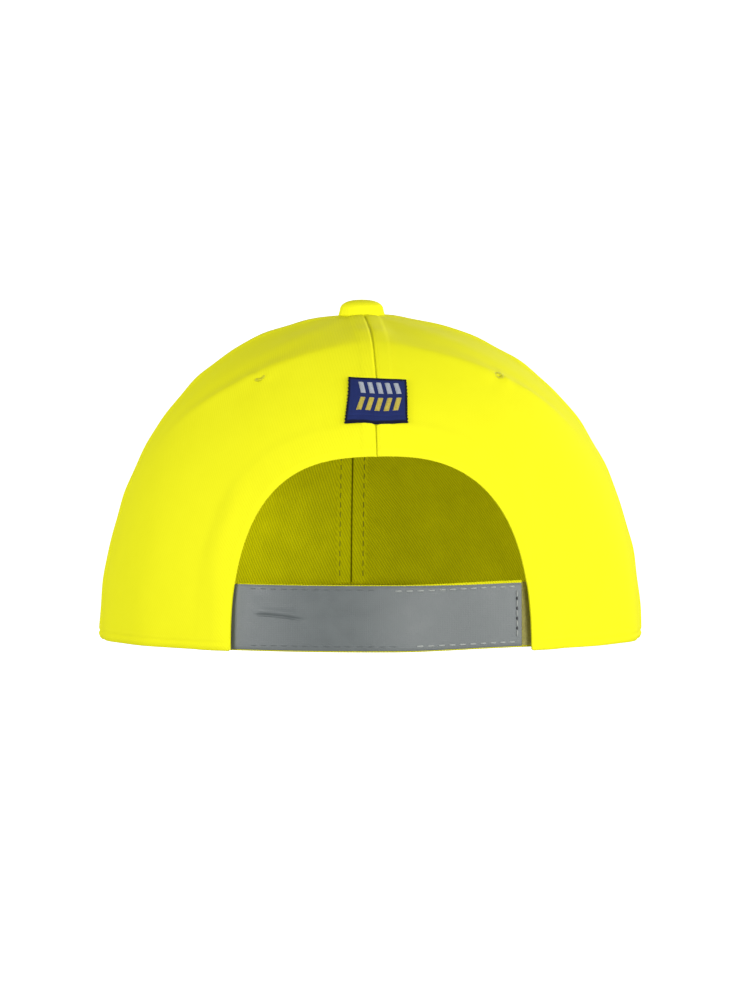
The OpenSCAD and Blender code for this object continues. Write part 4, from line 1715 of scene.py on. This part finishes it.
@dataclass
class Closure:
    """The two straps that close the opening: a taped outer one over an under one with loops."""

    finish: Wardrobe
    strap_h: float = 22.0 * MM
    foot: float = 0.3 * MM
    outer_end: float = 46.5 * MM
    under_end: float = 38.0 * MM
    anchor: float = 61.0 * MM
    hook_l: float = 40.0 * MM
    tape_d: float = 2.0 * MM
    tape_t: float = 0.25 * MM
    web_t: float = 0.8 * MM
    pile_t: float = 0.8 * MM
    gap: float = 0.08 * MM
    moving_gap: float = 0.35 * MM

    @property
    def web_d(self) -> float:
        """Depth of the outer web's outer face."""
        return self.tape_d + self.tape_t + self.gap

    @property
    def hook_d(self) -> float:
        """Depth of the hook patch's back."""
        return self.web_d + self.web_t + self.gap

    @property
    def loop_d(self) -> float:
        """Depth of the tips of the loops."""
        return self.hook_d + self.pile_t + self.moving_gap

    @property
    def under_d(self) -> float:
        """Depth of the under web's outer face."""
        return self.loop_d + self.pile_t + self.gap

    def point(self, x: Array, z: Array, depth: Array | float, proud: Array | float = 0.0) -> Array:
        """Point on a strap, which hangs straight across the opening.

        Args:
            x: Distance from the centre plane, towards the wearer's left.
            z: Height above the rim.
            depth: Depth of the layer.
            proud: How far the point stands out of it.

        Returns:
            The point, in metres.
        """
        x, z, depth, proud = np.broadcast_arrays(x, z, depth, proud)
        z = z + 0.9 * MM * ease(-x, 0.004, 0.044)
        turn = CROWN.turn_at(x, z, 0.003)
        tucked = ease(np.abs(x), 0.049, 0.054)
        lift = proud - depth + CROWN.folds(turn, z) * tucked
        return CROWN.base(turn, z, 0.0) + CROWN.normal(turn, z * 0 + 0.011) * lift[..., None]

    def crease(self, x: Array, z: Array) -> Array:
        """Small crease near the outer strap's root, and the softer waves of a worn tape.

        Args:
            x: Distance to the wearer's left.
            z: Height above the rim.

        Returns:
            The heights.
        """
        line = 0.0108 + 0.0012 * np.sin((x - 0.027) / 0.0135 * PI / 2)
        here = ease(x, 0.024, 0.030) * ease(x, 0.0425, 0.038)
        mark = (-0.5 * bump(z, line, 0.00034) + 0.35 * bump(z, line + 0.0014, 0.0012)) * here
        soft = 0.16 * np.sin(x / 0.0105 + 1.0) * np.sin(z / 0.0062 + 0.6)
        puff = 0.10 * np.sin(x / 0.0047) * bump(z, self.strap_h - 2 * MM, 3 * MM)
        return MM * (mark + soft + puff)

    def blend_left(self, piece: bpy.types.Object) -> bpy.types.Object:
        """Bakes the placement of a piece of the outer strap into its mesh."""
        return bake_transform(piece)

    def blend_right(self, piece: bpy.types.Object) -> bpy.types.Object:
        """Bakes the placement of a piece of the under strap into its mesh."""
        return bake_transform(piece)

    def web(self, name: str, x: Array, depth: Array | float, low: float, high: Array | float,
            thick: float, material: bpy.types.Material,
            proud: Array | float | Callable[[Array, Array], Array] = 0.0,
            rows: int = 34) -> bpy.types.Object:
        """Makes one flat layer of a strap.

        Args:
            name: Its name.
            x: Where its columns are, from the wearer's right to the left.
            depth: Depth of its outer face, at each column or everywhere.
            low: Height of its lower edge.
            high: Height of its upper edge, at each column or everywhere.
            thick: Its thickness.
            material: Its finish.
            proud: Relief of the whole layer, or what gives it at x and z.
            rows: How many rows its grid has.

        Returns:
            The layer.
        """
        x = x[:, None]
        top = np.broadcast_to(high, x[:, 0].shape)[:, None]
        z = low + (top - low) * np.linspace(0, 1, rows)[None]
        depth = np.broadcast_to(depth, x[:, 0].shape)[:, None]
        lift = proud(x, z) if callable(proud) else proud
        edge = 0.12 * MM * (ease(z - low, 0.9 * MM, 0) + ease(top - z, 0.9 * MM, 0))
        work = Patchwork()
        closed_sheet(work, self.point(x, z, depth, lift - edge),
                     self.point(x, z, depth + thick, lift + edge), None, 0)
        return work.build(name, [material])

    def outer(self) -> list[bpy.types.Object]:
        """Makes the outer strap: web, tape, hooks and stitching.

        Returns:
            Its pieces.
        """
        x = np.linspace(-self.outer_end, self.anchor, 260)
        web = self.web("outer_strap_webbing", x, self.web_d, self.foot, self.strap_h, self.web_t,
                       self.finish.webbing, self.crease)
        xt = np.linspace(-self.outer_end + 0.25 * MM, self.anchor - 6 * MM, 320)
        top = self.strap_h - 0.05 * MM - 0.6 * MM * ease(xt, -0.005, -0.036)
        tape = self.web("reflective_tape_strip", xt, self.tape_d, 0.45 * MM, top, self.tape_t,
                        self.finish.tape, self.crease, 90)
        start = -self.outer_end + 1.5 * MM
        margin = 3 * MM

        def face(u: Array, v: Array, height: Array) -> Array:
            """Point over the hook patch."""
            return self.point(start + u * self.hook_l, margin + v * (self.strap_h - 2 * margin),
                              self.hook_d + 0.25 * MM + height)

        patch = Patchwork()
        u, v = np.linspace(0, 1, 60)[:, None], np.linspace(0, 1, 24)[None]
        closed_sheet(patch, face(u, v, -0.25 * MM + 0 * u * v), face(u, v, 0 * u * v))
        Fuzz(1.15 * MM, 0.52 * MM, 0.085 * MM).hooks(patch, face, self.hook_l,
                                                     self.strap_h - 2 * margin)
        hooks = patch.build("hook_patch_pile", [self.finish.hooks])
        thread = Patchwork()
        up = CROWN.normal(np.zeros(1), np.full(1, 0.011))[0]
        for z, span, slot in ((20.2, (-45.6, -2.0), 0), (20.6, (0.0, 45.0), 1),
                              (1.9, (-45.6, -9.0), 0), (1.9, (-7.0, 45.0), 1)):
            xs = np.linspace(span[0], span[1], 260) * MM
            zs = np.full(260, z * MM)
            path = self.point(xs, zs, self.tape_d, self.crease(xs, zs) + 0.04 * MM)
            turn = CROWN.turn_at(xs, zs, 0.003)
            StitchRow(2.2 * MM, 1.5 * MM, 0.3 * MM if slot == 0 else 0.13 * MM).sew(
                thread, path, CROWN.normal(turn, zs), slot)
        zs = np.linspace(2.2, 20.4, 60) * MM
        xs = np.full(60, -44.6 * MM)
        path = self.point(xs, zs, self.tape_d, self.crease(xs, zs) + 0.05 * MM)
        ups = np.broadcast_to(up, path.shape)
        StitchRow(2.0 * MM, 1.3 * MM, 0.28 * MM).sew(thread, path, ups)
        StitchRow(0.7 * MM, 2.6 * MM, 0.34 * MM).sew(thread, path, ups, 2)
        sewn = thread.build("outer_strap_stitching",
                            [self.finish.grey_thread, self.finish.tape, self.finish.shell])
        dress(web, None, ("outer_strap_web", "left_strap_anchor"))
        dress(tape, None, ("reflective_tape",))
        dress(sewn, None, ())
        for piece in (web, tape, sewn):
            self.blend_left(piece)
        dress(hooks, "outer_strap", ("hook_patch",))
        return [web, tape, sewn, hooks]

    def under(self) -> list[bpy.types.Object]:
        """Makes the under strap: web and loops.

        Returns:
            Its pieces.
        """
        x = np.linspace(-self.anchor, self.under_end, 240)
        out = (self.loop_d - self.tape_d) * ease(-x, 0.0483, 0.0553)
        web = self.web("under_strap_webbing", x, self.under_d - out, self.foot, self.strap_h,
                       self.web_t, self.finish.webbing)
        left, right = -0.0555, self.under_end - 2 * MM
        low, high = self.foot + 0.5 * MM, self.strap_h - 0.5 * MM

        def face(u: Array, v: Array, height: Array) -> Array:
            """Point over the loop tape.

            Args:
                u: Place across, from 0 to 1.
                v: Place up, from 0 to 1.
                height: Height over the tape.

            Returns:
                The points.
            """
            xs = left + u * (right - left)
            shift = (self.loop_d - self.tape_d) * ease(-xs, 0.0483, 0.0553)
            return self.point(xs, low + v * (high - low), self.under_d - 0.3 * MM - height - shift)

        patch = Patchwork()
        u, v = np.linspace(0, 1, 150)[:, None], np.linspace(0, 1, 30)[None]
        closed_sheet(patch, face(u, v, 0 * u * v), face(u, v, -0.24 * MM + 0 * u * v))
        Fuzz(0.95 * MM, 0.5 * MM, 0.05 * MM).loops(patch, face, right - left, high - low)
        loops = patch.build("loop_patch_pile", [self.finish.loops])
        dress(web, None, ("under_strap_web", "right_strap_anchor"))
        dress(loops, None, ("loop_patch",))
        for piece in (web, loops):
            self.blend_right(piece)
        return [web, loops]

    def build(self) -> list[bpy.types.Object]:
        """Makes both straps."""
        return [*self.outer(), *self.under()]


@dataclass
class ImpactInsert:
    """Vented plastic shell on foam pads, held under the crown by hook-and-loop tabs."""

    finish: Wardrobe
    shell_t: float = 2.2 * MM
    shell_d: float = 2.75 * MM
    edge_z: float = 62.0 * MM
    rear_rise: float = 5.0 * MM
    pad_t: float = 5.0 * MM
    pad_d: float = 5.25 * MM
    tabs: tuple[int, ...] = (48, 126, 227, 305)

    def shell(self) -> bpy.types.Object:
        """Makes the shell with its rounded vents.

        Returns:
            The shell.
        """
        cols, rows = 48, 11
        turn = np.arange(cols)[:, None] * 2 * PI / cols
        steps = np.linspace(0, 1, rows)[None]
        low = self.edge_z + self.rear_rise * (1 + np.cos(turn)) / 2
        grids = []
        for depth in (self.shell_d, self.shell_d + self.shell_t):
            z = CROWN.rows(turn, low, CROWN.height_at(turn, 0.075, depth), depth, steps)
            grids.append(CROWN.base(turn + 0 * z, z, depth))
        i, j = np.meshgrid(np.arange(cols), np.arange(rows - 1), indexing="ij")
        vent = (((i % 6 == 2) | (i % 6 == 3)) & ((j == 3) | (j == 4) | (j == 5))) | (
            (i % 12 == 6) & (j == 7))
        work = Patchwork()
        total = cols * rows

        def solid(column: Array, row: Array) -> Array:
            """Whether a cell of the grid is on the shell and outside its vents."""
            inside = (row >= 0) & (row < rows - 1)
            return inside & ~vent[column % cols, np.clip(row, 0, rows - 2)]

        corner = [(i % cols) * rows + j, ((i + 1) % cols) * rows + j,
                  ((i + 1) % cols) * rows + j + 1, (i % cols) * rows + j + 1]
        here = solid(i, j)
        faces = [np.stack(corner[::-1], -1)[here], (np.stack(corner, -1) + total)[here]]
        for da, db, a, b in ((0, -1, 0, 1), (1, 0, 1, 2), (0, 1, 2, 3), (-1, 0, 3, 0)):
            edge = here & ~solid(i + da, j + db)
            wall = np.stack([corner[a], corner[b], corner[b] + total, corner[a] + total], -1)
            faces.append(wall[edge])
        work.add(np.concatenate([g.reshape(-1, 3) for g in grids]), np.concatenate(faces))
        piece = work.build("bump_shell_moulding", [self.finish.shell])
        smooth = piece.modifiers.new("rounding", "SUBSURF")
        smooth.levels = smooth.render_levels = 2
        settle(piece)
        return dress(piece, "insert", ("bump_shell",))

    def pad(self, node: str, outer: Array, inner: Array, ring: bool) -> bpy.types.Object:
        """Makes one foam pad and lets its cover swell under a little pressure.

        Args:
            node: The plain part that it stands for.
            outer: Points of its face against the shell.
            inner: Points of its face towards the head.
            ring: Whether its last column meets its first.

        Returns:
            The pad.
        """
        work = Patchwork()
        if ring:
            outer = np.concatenate([outer, outer[:1]])
            inner = np.concatenate([inner, inner[:1]])
        closed_sheet(work, outer, inner, None, 0)
        piece = work.build(node + "_foam", [self.finish.jersey])
        remesh = piece.modifiers.new("voxels", "REMESH")
        remesh.mode, remesh.voxel_size = "VOXEL", 1.7 * MM
        settle(piece)
        swell(piece, 4.0, 0.9 * MM)
        smooth = piece.modifiers.new("rounding", "SUBSURF")
        smooth.levels = smooth.render_levels = 1
        settle(piece)
        dress(piece, "insert", (node,))
        return piece

    def pads(self) -> list[bpy.types.Object]:
        """Makes the crown pad and the four pads round the wall.

        Returns:
            The pads.
        """
        made = []
        slim = 0.8 * MM
        turn = np.arange(72)[:, None] * 2 * PI / 72
        steps = np.linspace(0, 1, 14)[None]
        grids = []
        for depth in (self.pad_d + slim, self.pad_d + self.pad_t - slim):
            low = CROWN.height_at(turn, 0.405, depth)
            z = CROWN.rows(turn, low, CROWN.height_at(turn, 0.095, depth), depth, steps)
            grids.append(CROWN.base(turn + 0 * z, z, depth))
        made.append(self.pad("crown_pad", grids[0], grids[1], True))
        for node, centre, half in (("front_pad", 180, 24), ("rear_pad", 0, 22),
                                   ("left_side_pad", 90, 22), ("right_side_pad", -90, 22)):
            turn = np.radians(centre + (half - 0.7) * np.linspace(-1, 1, 34))[:, None]
            z = np.linspace(69.8, 83.2, 14)[None] * MM
            grids = [CROWN.base(turn, z + 0 * turn, depth)
                     for depth in (self.pad_d + slim, self.pad_d + self.pad_t - slim)]
            made.append(self.pad(node, grids[0], grids[1], False))
        return made

    def tab_pieces(self) -> list[bpy.types.Object]:
        """Makes the loop tabs on the crown and the hook tabs on the shell.

        Returns:
            The tabs.
        """
        loops, hooks = Patchwork(), Patchwork()
        for centre in self.tabs:
            for work, inset, depth, sign in ((loops, 0.0, 1.2 * MM, 1), (hooks, 1.0, 2.67 * MM, -1)):
                half = math.radians(7 - inset)
                low, high = (73 + inset) * MM, (83 - inset) * MM

                def face(u: Array, v: Array, height: Array, half: float = half, low: float = low,
                         high: float = high, depth: float = depth, sign: int = sign,
                         centre: int = centre) -> Array:
                    """Point over the tab's tape.

                    Args:
                        u: Place across, from 0 to 1.
                        v: Place up, from 0 to 1.
                        height: Height over the tape.
                        half: Half of the turn that the tab takes.
                        low: Height of its lower edge.
                        high: Height of its upper edge.
                        depth: Depth of the tape's back.
                        sign: 1 on the crown and -1 on the shell.
                        centre: Turn of the tab's middle, in degrees.

                    Returns:
                        The points.
                    """
                    turn = math.radians(centre) + (2 * u - 1) * half
                    z = low + v * (high - low)
                    lift = -depth - sign * (0.22 * MM + height)
                    fold = CROWN.folds(turn, z) if sign > 0 else 0 * u * v
                    return (CROWN.base(turn + 0 * z, z + 0 * turn, 0.0)
                            + CROWN.normal(turn + 0 * z, z + 0 * turn) * (lift + fold)[..., None])

                u, v = np.linspace(0, 1, 24)[:, None], np.linspace(0, 1, 12)[None]
                flat = [face(u, v, 0 * u * v), face(u, v, -0.2 * MM + 0 * u * v)]
                closed_sheet(work, *(flat if sign < 0 else flat[::-1]))
                wide = 0.19 * half / 2
                if sign > 0:
                    Fuzz(0.95 * MM, 0.3 * MM, 0.05 * MM).loops(work, face, wide, high - low)
                else:
                    Fuzz(1.15 * MM, 0.3 * MM, 0.08 * MM).hooks(work, face, wide, high - low)
        soft = loops.build("insert_loop_tab_pile", [self.finish.loops])
        stiff = hooks.build("insert_hook_tab_pile", [self.finish.hooks])
        return [dress(soft, "crown", ("insert_loop_tabs",)),
                dress(stiff, "insert", ("insert_hook_tabs",))]

    def build(self) -> list[bpy.types.Object]:
        """Makes the shell, its pads and its tabs."""
        return [self.shell(), *self.pads(), *self.tab_pieces()]


def settle(piece: bpy.types.Object) -> None:
    """Applies a piece's modifiers to its mesh.

    Args:
        piece: The piece.
    """
    graph = bpy.context.evaluated_depsgraph_get()
    mesh = bpy.data.meshes.new_from_object(piece.evaluated_get(graph))
    piece.modifiers.clear()
    old, piece.data = piece.data, mesh
    bpy.data.meshes.remove(old)
    for face in mesh.polygons:
        face.use_smooth = True


def swell(piece: bpy.types.Object, pressure: float, limit: float) -> None:
    """Lets a padded piece swell as cloth under pressure, and keeps the result.

    Args:
        piece: The piece, already remeshed.
        pressure: The pressure inside it.
        limit: How far any point may move, in metres.
    """
    scene = bpy.context.scene
    rest = np.array([v.co for v in piece.data.vertices])
    cloth = piece.modifiers.new("swell", "CLOTH")
    cloth.settings.use_pressure = True
    cloth.settings.uniform_pressure_force = pressure
    cloth.settings.effector_weights.gravity = 0
    cloth.settings.quality = 5
    cloth.point_cache.frame_start, cloth.point_cache.frame_end = 1, 20
    for number in range(1, 21):
        scene.frame_set(number)
    graph = bpy.context.evaluated_depsgraph_get()
    made = bpy.data.meshes.new_from_object(piece.evaluated_get(graph))
    moved = np.array([v.co for v in made.vertices]) - rest
    bpy.data.meshes.remove(made)
    piece.modifiers.clear()
    scene.frame_set(1)
    size = np.linalg.norm(moved, axis=1, keepdims=True)
    moved *= np.minimum(1, limit / np.maximum(size, 1e-9))
    piece.data.vertices.foreach_set("co", (rest + moved).astype(np.float32).ravel())
    piece.data.update()


@dataclass
class Studio:
    """Camera behind the cap, soft light from its right, and a white room."""

    distance: float = 6.0
    azimuth: float = 177.5
    elevation: float = 2.5
    field_height: float = 0.33557
    aim: tuple[float, float, float] = (-0.0017, 0.0, 0.046)
    floor_z: float = -0.135

    def camera(self) -> None:
        """Makes the camera."""
        data = bpy.data.cameras.new("camera")
        data.sensor_width = 36.0
        data.lens = 36.0 * self.distance / self.field_height
        data.clip_end = 60.0
        seen = bpy.data.objects.new("camera", data)
        bpy.context.scene.collection.objects.link(seen)
        a, e = math.radians(self.azimuth), math.radians(self.elevation)
        back = Vector((math.sin(a) * math.cos(e), -math.cos(a) * math.cos(e), math.sin(e)))
        seen.location = Vector(self.aim) + back * self.distance
        seen.rotation_euler = (-back).to_track_quat("-Z", "Y").to_euler()
        bpy.context.scene.camera = seen

    def light(self, name: str, place: tuple[float, float, float], size: float, power: float,
              colour: Colour) -> None:
        """Makes one soft light that faces the cap and that the camera doesn't see.

        Args:
            name: Its name.
            place: Where it stands.
            size: Its width.
            power: Its power in watts.
            colour: Its colour.
        """
        data = bpy.data.lights.new(name, "AREA")
        data.shape, data.size, data.energy, data.color = "DISK", size, power, colour
        lamp = bpy.data.objects.new(name, data)
        lamp.location = place
        aim = Vector((0, 0, 0.055)) - Vector(place)
        lamp.rotation_euler = aim.to_track_quat("-Z", "Y").to_euler()
        lamp.visible_camera = False
        bpy.context.scene.collection.objects.link(lamp)

    def room(self) -> None:
        """Makes the pale floor and the white surroundings."""
        mesh = bpy.data.meshes.new("floor")
        r = 30.0
        mesh.from_pydata([(-r, -r, 0), (r, -r, 0), (r, r, 0), (-r, r, 0)], [], [(0, 1, 2, 3)])
        mesh.materials.append(PaleFloor().build())
        floor = bpy.data.objects.new("floor", mesh)
        floor.location.z = self.floor_z
        floor.visible_diffuse = floor.visible_glossy = False
        bpy.context.scene.collection.objects.link(floor)
        world = bpy.data.worlds.new("white_room")
        bpy.context.scene.world = world
        world.use_nodes = True
        nodes, links = world.node_tree.nodes, world.node_tree.links
        seen = next(n for n in nodes if n.type == "BACKGROUND")
        seen.inputs[0].default_value = (1, 1, 1, 1)
        seen.inputs[1].default_value = 1.05
        soft = nodes.new("ShaderNodeBackground")
        soft.inputs[0].default_value = (1, 1, 1, 1)
        soft.inputs[1].default_value = 0.36
        path, either = nodes.new("ShaderNodeLightPath"), nodes.new("ShaderNodeMixShader")
        out = next(n for n in nodes if n.type == "OUTPUT_WORLD")
        links.new(path.outputs["Is Camera Ray"], either.inputs[0])
        links.new(soft.outputs[0], either.inputs[1])
        links.new(seen.outputs[0], either.inputs[2])
        links.new(either.outputs[0], out.inputs[0])

    def build(self) -> None:
        """Makes the lights and the room."""
        bpy.context.scene.view_settings.view_transform = "Standard"
        self.light("key", (-0.9, 2.5, 0.12), 0.9, 40.0, (1.0, 0.99, 0.97))
        self.light("right", (-2.1, 1.0, 0.3), 1.3, 33.0, (1.0, 1.0, 0.98))
        self.light("left", (2.1, 1.0, 0.3), 1.3, 36.0, (0.99, 1.0, 1.0))
        self.light("front", (-0.6, -2.0, 0.9), 1.4, 16.0, (1.0, 1.0, 0.98))
        self.room()


def main() -> None:
    """Builds the studio and the cap, and reports each piece."""
    logging.basicConfig(level=logging.INFO, format="%(name)s: %(message)s")
    studio = Studio()
    studio.camera()
    studio.build()
    finish = Wardrobe()
    groups = (CrownPanels(finish), Turnings(finish), Sweatband(finish), Visor(finish),
              TopButton(finish), Eyelets(finish), Labels(finish), Closure(finish),
              ImpactInsert(finish))
    for group in groups:
        for piece in group.build():
            LOG.info("%s: %d faces", piece.name, len(piece.data.polygons))


if __name__ == "__main__":
    main()
